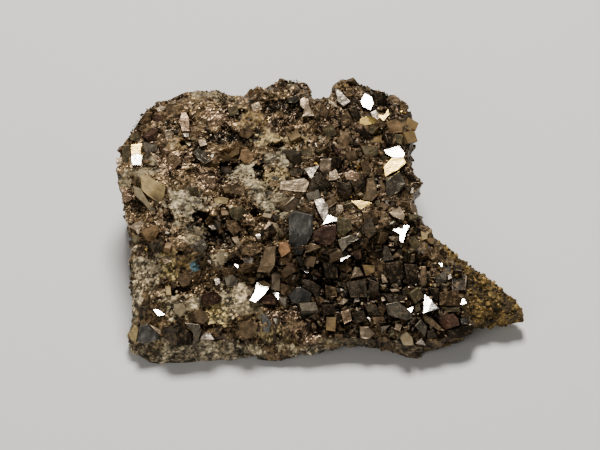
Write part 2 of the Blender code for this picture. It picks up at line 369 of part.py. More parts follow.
def relief(x, y):
    """Height of the crust before its edges are rounded: a sloping terrace, higher on the left, that falls
    towards the tail, and a thick block behind the ledge, with the lumps and hollows added as bell shapes."""
    terrace = TERRACE_HEIGHT + TERRACE_RISE * (y - TERRACE_FRONT) - TAIL_FALL * np.maximum(x - TAIL_START, 0)
    leftness = smooth((LEFT_START - x) / LEFT_WIDTH) * smooth((y - TERRACE_FRONT) / LEFT_WIDTH)
    terrace = terrace + LEFT_RISE * leftness
    ledge = np.interp(x, LEDGE_X, LEDGE_Y)
    block = BLOCK_HEIGHT + BLOCK_RISE * (y - ledge)
    height = terrace + (block - terrace) * smooth((y - ledge) / LEDGE_WIDTH + 0.5)
    for lump_x, lump_y, radius, rise in LUMPS:
        height = height + rise * np.exp(-((x - lump_x) ** 2 + (y - lump_y) ** 2) / radius**2)
    return height


def sight_line(right, up):
    """Points along the sight line through a place on the display face, nearest the viewer first."""
    return np.array([sight_point(right, up, height) for height in np.arange(SEARCH_TOP, 0.0, -SEARCH_STEP)])


def on_relief(right, up, lowered):
    """Where the sight line meets the relief lowered by some millimetres."""
    line = sight_line(right, up)
    return line[np.argmax(line[:, 2] <= relief(line[:, 0], line[:, 1]) - lowered)]


def outline_of(places):
    """Places of an edge as sorted bearings about CENTRE with a radius each, and the order of the places."""
    plan = np.array([place[:2] for place in places]) - CENTRE
    bearing = np.arctan2(plan[:, 1], plan[:, 0])
    order = np.argsort(bearing)
    return bearing[order], np.hypot(*plan.T)[order], order


def rock_edge_place(right, up, under, border):
    if border == "under":
        return sight_point(right, up, under)
    return on_relief(right, up, SHOULDER_DROP + CRUST_STEP)


def crust_edge_place(right, up, height):
    if height is None:
        return on_relief(right, up, SHOULDER_DROP)
    return sight_point(right, up, height)


ROCK_OUTLINE = outline_of([rock_edge_place(*row) for row in ROCK_EDGE])
CRUST_OUTLINE = outline_of([crust_edge_place(*row) for row in CRUST_EDGE])
UNDERSIDES = np.array([row[2] for row in ROCK_EDGE])[ROCK_OUTLINE[2]]


def reach(outline, bearing):
    """The outline's radius at a bearing, straight between its points."""
    return np.interp(bearing, outline[0], outline[1], period=2 * math.pi)


def share_out(outline, x, y):
    """How far out a plan place lies: 0 at CENTRE, 1 on the outline."""
    dx, dy = x - CENTRE[0], y - CENTRE[1]
    return np.hypot(dx, dy) / reach(outline, np.arctan2(dy, dx))


def ground(x, y):
    """Height of the crust between its crystals: the relief with a rounded shoulder at the slab's edge."""
    edge = smooth((1 - share_out(ROCK_OUTLINE, x, y)) / SHOULDER_WIDTH)
    return relief(x, y) - (SHOULDER_DROP + FRONT_DROP * front_rim(x, y)) * (1 - edge)


def rock_top(x, y):
    """Height of the bare rock: a step below the crust's level outside it, and the crust's thickness below it
    inside."""
    covered = smooth((1 - share_out(CRUST_OUTLINE, x, y)) / CRUST_EDGE_BLEND)
    return ground(x, y) - CRUST_STEP - (CRUST_THICKNESS - CRUST_STEP) * covered


def on_crust(right, up):
    """The nearest point of the crust on the sight line through a place on the display face."""
    line = sight_line(right, up)
    return line[np.argmax(line[:, 2] <= ground(line[:, 0], line[:, 1]))]


def disc_grid(steps):
    """A square grid laid on the unit disc: squares round the middle become rings. Returns the share out
    and the bearing of each point, in rows."""
    side = np.linspace(-1, 1, steps + 1)
    across, along = np.meshgrid(side, side)
    share = np.maximum(abs(across), abs(along))
    wide = abs(across) >= abs(along)
    divisor = np.where(share == 0, 1, np.where(wide, across, along))
    turn = np.where(wide, along, -across) / divisor * math.pi / 4
    bearing = turn + np.where(wide, 0, math.pi / 2) + np.where(divisor < 0, math.pi, 0)
    return share, bearing


def new_object(name, points, faces, finish):
    """A mesh object from points in the tables' millimetres."""
    mesh = bpy.data.meshes.new(name)
    mesh.from_pydata(points.tolist(), [], faces)
    mesh.update()
    mesh.materials.append(finish)
    made = bpy.data.objects.new(name, mesh)
    bpy.context.scene.collection.objects.link(made)
    return made


def finish_material(name, colour, roughness, metallic):
    material = bpy.data.materials.new(name)
    material.use_nodes = True
    shader = material.node_tree.nodes["Principled BSDF"]
    shader.inputs["Base Color"].default_value = (*colour, 1)
    shader.inputs["Roughness"].default_value = roughness
    shader.inputs["Metallic"].default_value = metallic
    return material


def plate(name, outline, top, lower_rings, finish):
    """A closed plate over a plan outline. Its top is a grid whose rings follow the outline. Its side and
    underside are the rings in lower_rings, each a function from the edge's bearings to points, and the last
    ring is filled."""
    share, bearing = disc_grid(GRID_STEPS)
    radius = share * reach(outline, bearing)
    x = CENTRE[0] + radius * np.cos(bearing)
    y = CENTRE[1] + radius * np.sin(bearing)
    points = np.stack([x, y, top(x, y)], axis=-1).reshape(-1, 3)
    count = GRID_STEPS + 1
    index = np.arange(count * count).reshape(count, count)
    corners = np.stack([index[:-1, :-1], index[:-1, 1:], index[1:, 1:], index[1:, :-1]], axis=-1)
    faces = corners.reshape(-1, 4).tolist()
    edge = np.concatenate([index[0, :-1], index[:-1, -1], index[-1, :0:-1], index[:0:-1, 0]])
    edge_bearing = bearing.reshape(-1)[edge]
    previous = edge
    for ring in lower_rings:
        following = len(points) + np.arange(len(edge))
        points = np.concatenate([points, ring(edge_bearing, points[edge])])
        around = np.roll(np.arange(len(edge)), -1)
        faces += np.stack([previous, following, following[around], previous[around]], axis=-1).tolist()
        previous = following
    faces.append(previous[::-1].tolist())
    return new_object(name, points, faces, finish)


def roughened(points, amounts, seed):
    """The points, each moved along each axis by a coarse and a fine noise."""
    moved = np.array(points)
    for size, (cell, amount) in enumerate(zip(ROUGH_CELLS, amounts)):
        for axis in range(3):
            moved[:, axis] += amount * value_noise(points, cell, seed + axis + 10 * size)
    return moved


def roughen(made, amounts, seed, lowest):
    """Makes the object's faces uneven, as triangles. Points on the rest plane stay, so the foot stays flat,
    and the others stay at least at the lowest height."""
    points = np.array([vertex.co for vertex in made.data.vertices])
    moved = roughened(points, amounts, seed)
    foot = points[:, 2] <= 0
    moved[foot] = points[foot]
    moved[~foot, 2] = np.maximum(moved[~foot, 2], lowest)
    made.data.vertices.foreach_set("co", moved.ravel())
    mesh = bmesh.new()
    mesh.from_mesh(made.data)
    bmesh.ops.triangulate(mesh, faces=mesh.faces)
    mesh.to_mesh(made.data)
    mesh.free()


def rock_ring(outset, fall):
    """A ring of the slab's side: outset millimetres past the outline, a share of the way to the underside."""

    def ring(bearing, edge):
        under = np.interp(bearing, ROCK_OUTLINE[0], UNDERSIDES, period=2 * math.pi)
        radius = reach(ROCK_OUTLINE, bearing) + outset
        height = edge[:, 2] + fall * (under - edge[:, 2])
        return ring_points(radius, bearing, height)

    return ring


def foot_ring(bearing, edge):
    """The border of the flat foot, further in where the underside's edge stands higher off the rest plane."""
    under = np.interp(bearing, ROCK_OUTLINE[0], UNDERSIDES, period=2 * math.pi)
    share = 1 - FOOT_INSET - FOOT_INSET_PER_MM * under
    return ring_points(reach(ROCK_OUTLINE, bearing) * share, bearing, np.zeros(len(edge)))


def ring_points(radius, bearing, height):
    x = CENTRE[0] + radius * np.cos(bearing)
    y = CENTRE[1] + radius * np.sin(bearing)
    return np.stack([x, y, height], axis=-1)


def make_rock(finish):
    """The host rock: a slab with an uneven top, rough sides, an underside raised at its front and its tail,
    and a flat foot that it rests on."""
    rings = [rock_ring(outset, fall) for outset, fall in ROCK_SIDE] + [foot_ring]
    rock = plate("host_rock", ROCK_OUTLINE, rock_top, rings, finish)
    roughen(rock, ROUGH_ROCK, ROCK_SEED, FOOT_CLEARANCE)
    return rock


def crust_ring(share):
    """A ring of the crust's side, a share of the way to SKIRT_DEPTH or to just above the slab's underside."""

    def ring(bearing, edge):
        under = np.interp(bearing, ROCK_OUTLINE[0], UNDERSIDES, period=2 * math.pi)
        lowest = np.maximum(edge[:, 2] - SKIRT_DEPTH, under + SKIRT_CLEARANCE)
        lowest = np.minimum(lowest, edge[:, 2] - SKIRT_LEAST)
        radius = reach(CRUST_OUTLINE, bearing) * (1 - SKIRT_INSET * share)
        return ring_points(radius, bearing, edge[:, 2] + share * (lowest - edge[:, 2]))

    return ring


def make_crust_sheet(finish):
    """The ground of the crust, deep enough to be trimmed to the rock below it."""
    rings = [crust_ring(share) for share in CRUST_SIDE]
    sheet = plate("arsenopyrite_crust", CRUST_OUTLINE, ground, rings, finish)
    roughen(sheet, ROUGH_CRUST, CRUST_SEED, CRUST_CLEARANCE)
    return sheet


def face_area(corners):
    """Area of an outline on the display face."""
    x, y = corners.T
    return abs((x * np.roll(y, -1) - np.roll(x, -1) * y).sum()) / 2


def facing_of(kind, number):
    """The direction that a crystal face looks in: TOWARDS, leaned as its kind asks."""
    low, high, most = LEANS.get(kind, OTHER_LEAN)
    up_share, side_share = (number * step % 1 for step in LEAN_STEPS)
    rise = math.sin(math.radians(low + (high - low) * up_share))
    side = math.sin(math.radians(most * (2 * side_share - 1)))
    return side * RIGHT + rise * UP + math.sqrt(1 - side**2 - rise**2) * TOWARDS


def face_point(right, up, front, facing):
    """Where the sight line through a place on the display face meets the plane of a crystal face."""
    ray = AIM + right * RIGHT + up * UP - EYE
    return EYE + ray * (((front - EYE) @ facing) / (ray @ facing))


def add_crystal(mesh, corners, facing):
    """The crystal behind a face: its outline in a plane that stands a little proud of the crust, run back
    away from the viewer while it spreads, as a closed convex shape."""
    width, height = np.ptp(corners, axis=0)
    middle = corners.mean(axis=0)
    stand = min(STAND[0] * min(width, height) + STAND[1], MOST_STAND)
    depth = min(DEPTH[0] * (width + height) + DEPTH[1], DEEPEST)
    front = on_crust(*middle) + stand * TOWARDS
    spread = middle + SPREAD * (corners - middle)
    near = [face_point(*corner, front, facing) for corner in corners]
    far = [face_point(*corner, front, facing) - depth * TOWARDS for corner in spread]
    made = [mesh.verts.new(place) for place in near + far]
    bmesh.ops.convex_hull(mesh, input=made)


def make_crystals(finish):
    """All crystals as one helper mesh of overlapping closed shapes, for the union with the crust."""
    mesh = bmesh.new()
    for number, (kind, *numbers) in enumerate(CRYSTAL_FACES):
        corners = np.array(numbers, float).reshape(-1, 2)
        if face_area(corners) >= SMALLEST_FACE:
            add_crystal(mesh, corners, facing_of(kind, number))
    data = bpy.data.meshes.new("crystal_blocks")
    mesh.to_mesh(data)
    mesh.free()
    data.materials.append(finish)
    blocks = bpy.data.objects.new("crystal_blocks", data)
    bpy.context.scene.collection.objects.link(blocks)
    return blocks


def swollen_copy(source, outset):
    """A helper with the source's shape, whose faces stand outset millimetres off the source's."""
    mesh = bmesh.new()
    mesh.from_mesh(source.data)
    mesh.normal_update()
    shifts = [vertex.normal * vertex.calc_shell_factor() * outset for vertex in mesh.verts]
    for vertex, shift in zip(mesh.verts, shifts):
        vertex.co += shift
    data = source.data.copy()
    mesh.to_mesh(data)
    mesh.free()
    grown = bpy.data.objects.new(source.name + "_clearance", data)
    bpy.context.scene.collection.objects.link(grown)
    return grown


def boolean(target, operation, other):
    """Joins the other object to the target, or cuts it away, and removes it."""
    modifier = target.modifiers.new(operation.lower(), "BOOLEAN")
    modifier.operation = operation
    modifier.object = other
    modifier.use_self = operation == "UNION"
    result = bpy.data.meshes.new_from_object(target.evaluated_get(bpy.context.evaluated_depsgraph_get()))
    target.modifiers.remove(modifier)
    target.data = result
    bpy.data.objects.remove(other)


def linked_vertices(start):
    """Every vertex that edges join to the start."""
    found = {start}
    waiting = [start]
    while waiting:
        vertex = waiting.pop()
        for edge in vertex.link_edges:
            other = edge.other_vert(vertex)
            if other not in found:
                found.add(other)
                waiting.append(other)
    return found


def drop_chips(made):
    """Keeps the object's largest body and removes the loose chips that trimming leaves."""
    mesh = bmesh.new()
    mesh.from_mesh(made.data)
    left = set(mesh.verts)
    bodies = []
    while left:
        body = linked_vertices(next(iter(left)))
        bodies.append(body)
        left -= body
    largest = max(bodies, key=len)
    bmesh.ops.delete(mesh, geom=[vertex for vertex in mesh.verts if vertex not in largest], context="VERTS")
    mesh.to_mesh(made.data)
    mesh.free()


def set_down(made):
    """Moves the object from the tables' millimetres to metres about the specimen's own origin."""
    made.data.transform(Matrix.Scale(MM, 4) @ Matrix.Translation(-Vector(ORIGIN)))


def main():
    for old in list(bpy.data.objects):
        bpy.data.objects.remove(old)
    rock = make_rock(finish_material("host_rock", *ROCK_FINISH))
    finish = finish_material("arsenopyrite_crust", *CRUST_FINISH)
    crust = make_crust_sheet(finish)
    boolean(crust, "UNION", make_crystals(finish))
    boolean(crust, "DIFFERENCE", swollen_copy(rock, GAP))
    drop_chips(crust)
    set_down(rock)
    set_down(crust)


main()
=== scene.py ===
"""The looks of an arsenopyrite specimen: crystals, druse and gangue on a slab of iron-stained host rock.

Lengths in the tables are millimetres. Many places are given on the display face: a plane through AIM, square
to the viewer's line of sight, where `right` and `up` are measured. A sight line from EYE through such a place
meets the specimen at one point. Pieces are worked out in the tables' millimetres and set down in metres
about ORIGIN.
"""

import math

import bpy
import numpy as np
from mathutils import Matrix, Vector


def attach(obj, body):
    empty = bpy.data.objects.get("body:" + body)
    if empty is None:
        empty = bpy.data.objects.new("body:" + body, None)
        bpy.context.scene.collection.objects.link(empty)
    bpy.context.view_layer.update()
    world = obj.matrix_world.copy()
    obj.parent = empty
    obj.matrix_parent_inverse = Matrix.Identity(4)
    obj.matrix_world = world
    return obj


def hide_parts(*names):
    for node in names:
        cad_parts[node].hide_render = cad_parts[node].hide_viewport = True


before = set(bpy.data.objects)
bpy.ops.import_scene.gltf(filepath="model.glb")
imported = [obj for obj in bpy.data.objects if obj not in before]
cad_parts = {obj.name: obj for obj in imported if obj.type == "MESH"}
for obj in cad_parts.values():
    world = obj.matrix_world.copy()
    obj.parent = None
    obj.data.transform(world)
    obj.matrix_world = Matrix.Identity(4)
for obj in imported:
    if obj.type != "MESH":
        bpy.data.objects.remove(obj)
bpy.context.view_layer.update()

MM = 0.001

# The display face, from which places are measured
VIEW_ELEVATION = math.radians(50)
EYE_DISTANCE = 600.0
AIM = np.array((-5.0, -7.3, 22.0))
RIGHT = np.array((1.0, 0.0, 0.0))
UP = np.array((0.0, math.sin(VIEW_ELEVATION), math.cos(VIEW_ELEVATION)))
TOWARDS = np.array((0.0, -math.cos(VIEW_ELEVATION), math.sin(VIEW_ELEVATION)))
EYE = AIM + EYE_DISTANCE * TOWARDS
FRAME_WIDTH = 150.0
SENSOR_WIDTH = 36.0
SEARCH_TOP = 42.0
SEARCH_STEP = 0.1

# Middle of the specimen's box, in the plan coordinates of these tables
ORIGIN = np.array((-0.6, 1.2, 0.0))

# Sizes of the slab and its crust, and how rough they are
CENTRE = np.array((0.0, -8.0))
CRUST_THICKNESS = 4.2
CRUST_STEP = 1.6
FOOT_INSET = 0.07
FOOT_INSET_PER_MM = 0.065
CRUST_EDGE_BLEND = 0.08
ROUGH_CELLS = (7.0, 3.1)
ROUGH_ROCK = (0.68, 0.34)
ROUGH_CRUST = (0.4, 0.2)
ROCK_SEED = 3
CRUST_SEED = 29

# Edge of the rock slab: right and up on the display face, the height of the slab's underside there, and which
# border is seen. The front shows the border of its underside, the back and the sides that of its top.
ROCK_EDGE = (
    (-42.3, -31.5, 0.5, "under"), (-38.8, -33.6, 0, "under"), (-35.3, -34.6, 0, "under"),
    (-23.8, -34, 0, "under"), (-13.8, -33.2, 0.5, "under"), (-10.8, -33.8, 0, "under"),
    (-5.8, -34.2, 0, "under"), (-0.8, -32.7, 0.8, "under"), (4.3, -31.4, 1.8, "under"),
    (10, -30.2, 2.4, "under"), (15, -29.9, 2.4, "under"), (20, -30.6, 1.6, "under"),
    (23.5, -32, 0.6, "under"), (26.5, -33.2, 0, "under"), (30, -33.6, 0, "under"),
    (32.3, -31.6, 0.6, "under"), (35.8, -30.6, 1.4, "under"), (40, -28.8, 2.5, "under"),
    (44.3, -25.9, 3.4, "under"), (50.8, -25.1, 3.6, "under"), (54.8, -24.4, 3.8, "under"),
    (56, -23, 3.8, "top"), (53.8, -19.8, 3.4, "top"), (50.8, -16.3, 2.8, "top"), (48, -14, 2.2, "top"),
    (43.8, -10.8, 1.6, "top"), (40, -9, 1.2, "top"), (36.5, -5.5, 1, "top"), (33, -2.3, 1, "top"),
    (29, 0.5, 0.5, "top"), (27.3, 4.8, 0.5, "top"), (27.5, 11.3, 0.5, "top"), (26, 16, 0.5, "top"),
    (28, 22, 0.5, "top"), (27.5, 26, 0.5, "top"), (25, 29.5, 0.5, "top"), (21, 31.5, 0.5, "top"),
    (11.3, 34, 0.5, "top"), (7.3, 31, 0.5, "top"), (3.3, 30, 0.5, "top"), (1, 32.5, 0.5, "top"),
    (-2, 34.6, 0.5, "top"), (-10, 32.5, 0.5, "top"), (-16, 30.5, 0.5, "top"), (-21, 31.8, 0.5, "top"),
    (-32, 29.8, 0.5, "top"), (-37.3, 27.3, 0.5, "top"), (-41.3, 21.3, 0.5, "top"), (-43.8, 15.5, 0.5, "top"),
    (-43.8, 11.3, 0.5, "top"), (-42.8, 6.3, 0.5, "top"), (-41.6, 0.3, 0.5, "top"), (-41, -6.8, 0.5, "top"),
    (-41.8, -9.8, 0.5, "top"), (-41, -19.8, 0.5, "top"), (-42.6, -27.5, 1, "top"),
)

# Edge of the crystal crust: right and up on the display face, and its height there. Where none is given, it
# lies on the shoulder of the relief.
CRUST_EDGE = (
    (-41, -27.5, 6), (-36.5, -29, 5.2), (-31, -29.2, 5.2), (-25, -28.8, 5.4), (-18, -29, 5.4),
    (-12, -30.4, 4.8), (-5, -32, 4), (0, -30.5, 5.5), (4.3, -29.3, 6), (10, -28.4, 6.5), (15, -28.2, 6.5),
    (20, -28.8, 6), (23.8, -29.5, 5.5), (25.8, -27.3, 7.5), (30, -30.8, 4.5), (33.8, -30, 5),
    (37.5, -28.8, 5.5), (41.3, -27.3, 6), (43.3, -25, 7), (42.5, -21.8, 9.5), (42, -17.5), (40.5, -13.8),
    (37.5, -9.3), (34.5, -5.8), (31.5, -2.3), (29.5, 0.8), (28, 4.8), (28.7, 8.3), (30.6, 10.5), (28.5, 12.5),
    (27, 15), (26.8, 17.5), (27.5, 20), (28.3, 23.8), (27.2, 28), (26, 30.3), (23.5, 32.3), (20.8, 33.3),
    (17.5, 34.1), (14.3, 35.3), (10.8, 36), (8.3, 34.5), (7.5, 31.8), (5, 31.3), (3, 31.3), (2.5, 33.8),
    (1, 35.5), (-2.3, 36.4), (-5.8, 35.8), (-8, 34.5), (-12.3, 34), (-13.8, 32), (-17.3, 32.3), (-21, 33.9),
    (-28, 32.8), (-32, 31.6), (-35.5, 30.5), (-38.8, 28.8), (-40.8, 25.8), (-43, 22), (-44.8, 18.8),
    (-45.6, 15.8), (-45.3, 11.8), (-44.3, 6.8), (-42.8, 0.3), (-41.8, -3.3), (-41.6, -6.8), (-42.8, -9.8),
    (-41.8, -14.8), (-41.8, -19.8), (-41.8, -23.3),
)

# The ledge where the thick back block drops to the front terrace, as plan points
LEDGE_X = (-48.0, -30.0, -10.0, 2.5, 12.5, 23.5, 28.0, 62.0)
LEDGE_Y = (-16.5, -16.8, -18.0, -15.5, -11.3, -3.8, 12.0, 70.0)
LEDGE_WIDTH = 4.0
BLOCK_HEIGHT = 22.5
BLOCK_RISE = 0.115
TERRACE_HEIGHT = 8.5
TERRACE_RISE = 0.42
TERRACE_FRONT = -33.0
TAIL_START = 20.0
TAIL_FALL = 0.055
LEFT_RISE = 4.6
LEFT_START = -8.0
LEFT_WIDTH = 22.0
SHOULDER_DROP = 2.2
SHOULDER_WIDTH = 0.13
FRONT_DROP = 3.2
FRONT_DROP_Y = -24.0
FRONT_DROP_X = -4.0
FRONT_DROP_BLEND = 7.0

# Lumps and hollows of the crust: plan place, radius and height
LUMPS = (
    (-25, 24.5, 13, 2.2), (-7, 30, 8, 3), (0.3, 34, 3.6, -4), (-20.3, 34, 4, -1.5), (6.5, 33, 6, 2),
    (-23.5, 11.5, 5, -3), (-26, -9, 5, -3.5), (-14.5, 10, 4, -1.8), (-42, 3.5, 6, 1.2), (7.5, -0.7, 4, -1.8),
    (-4, -11.5, 7, 1.8), (0, -18.5, 5, -2), (25, -23, 7, 2), (17, 4, 7, 1.5), (20, 20, 7, 1.5),
    (-40, -14, 9, 2), (-31, -27, 6, 1),
)

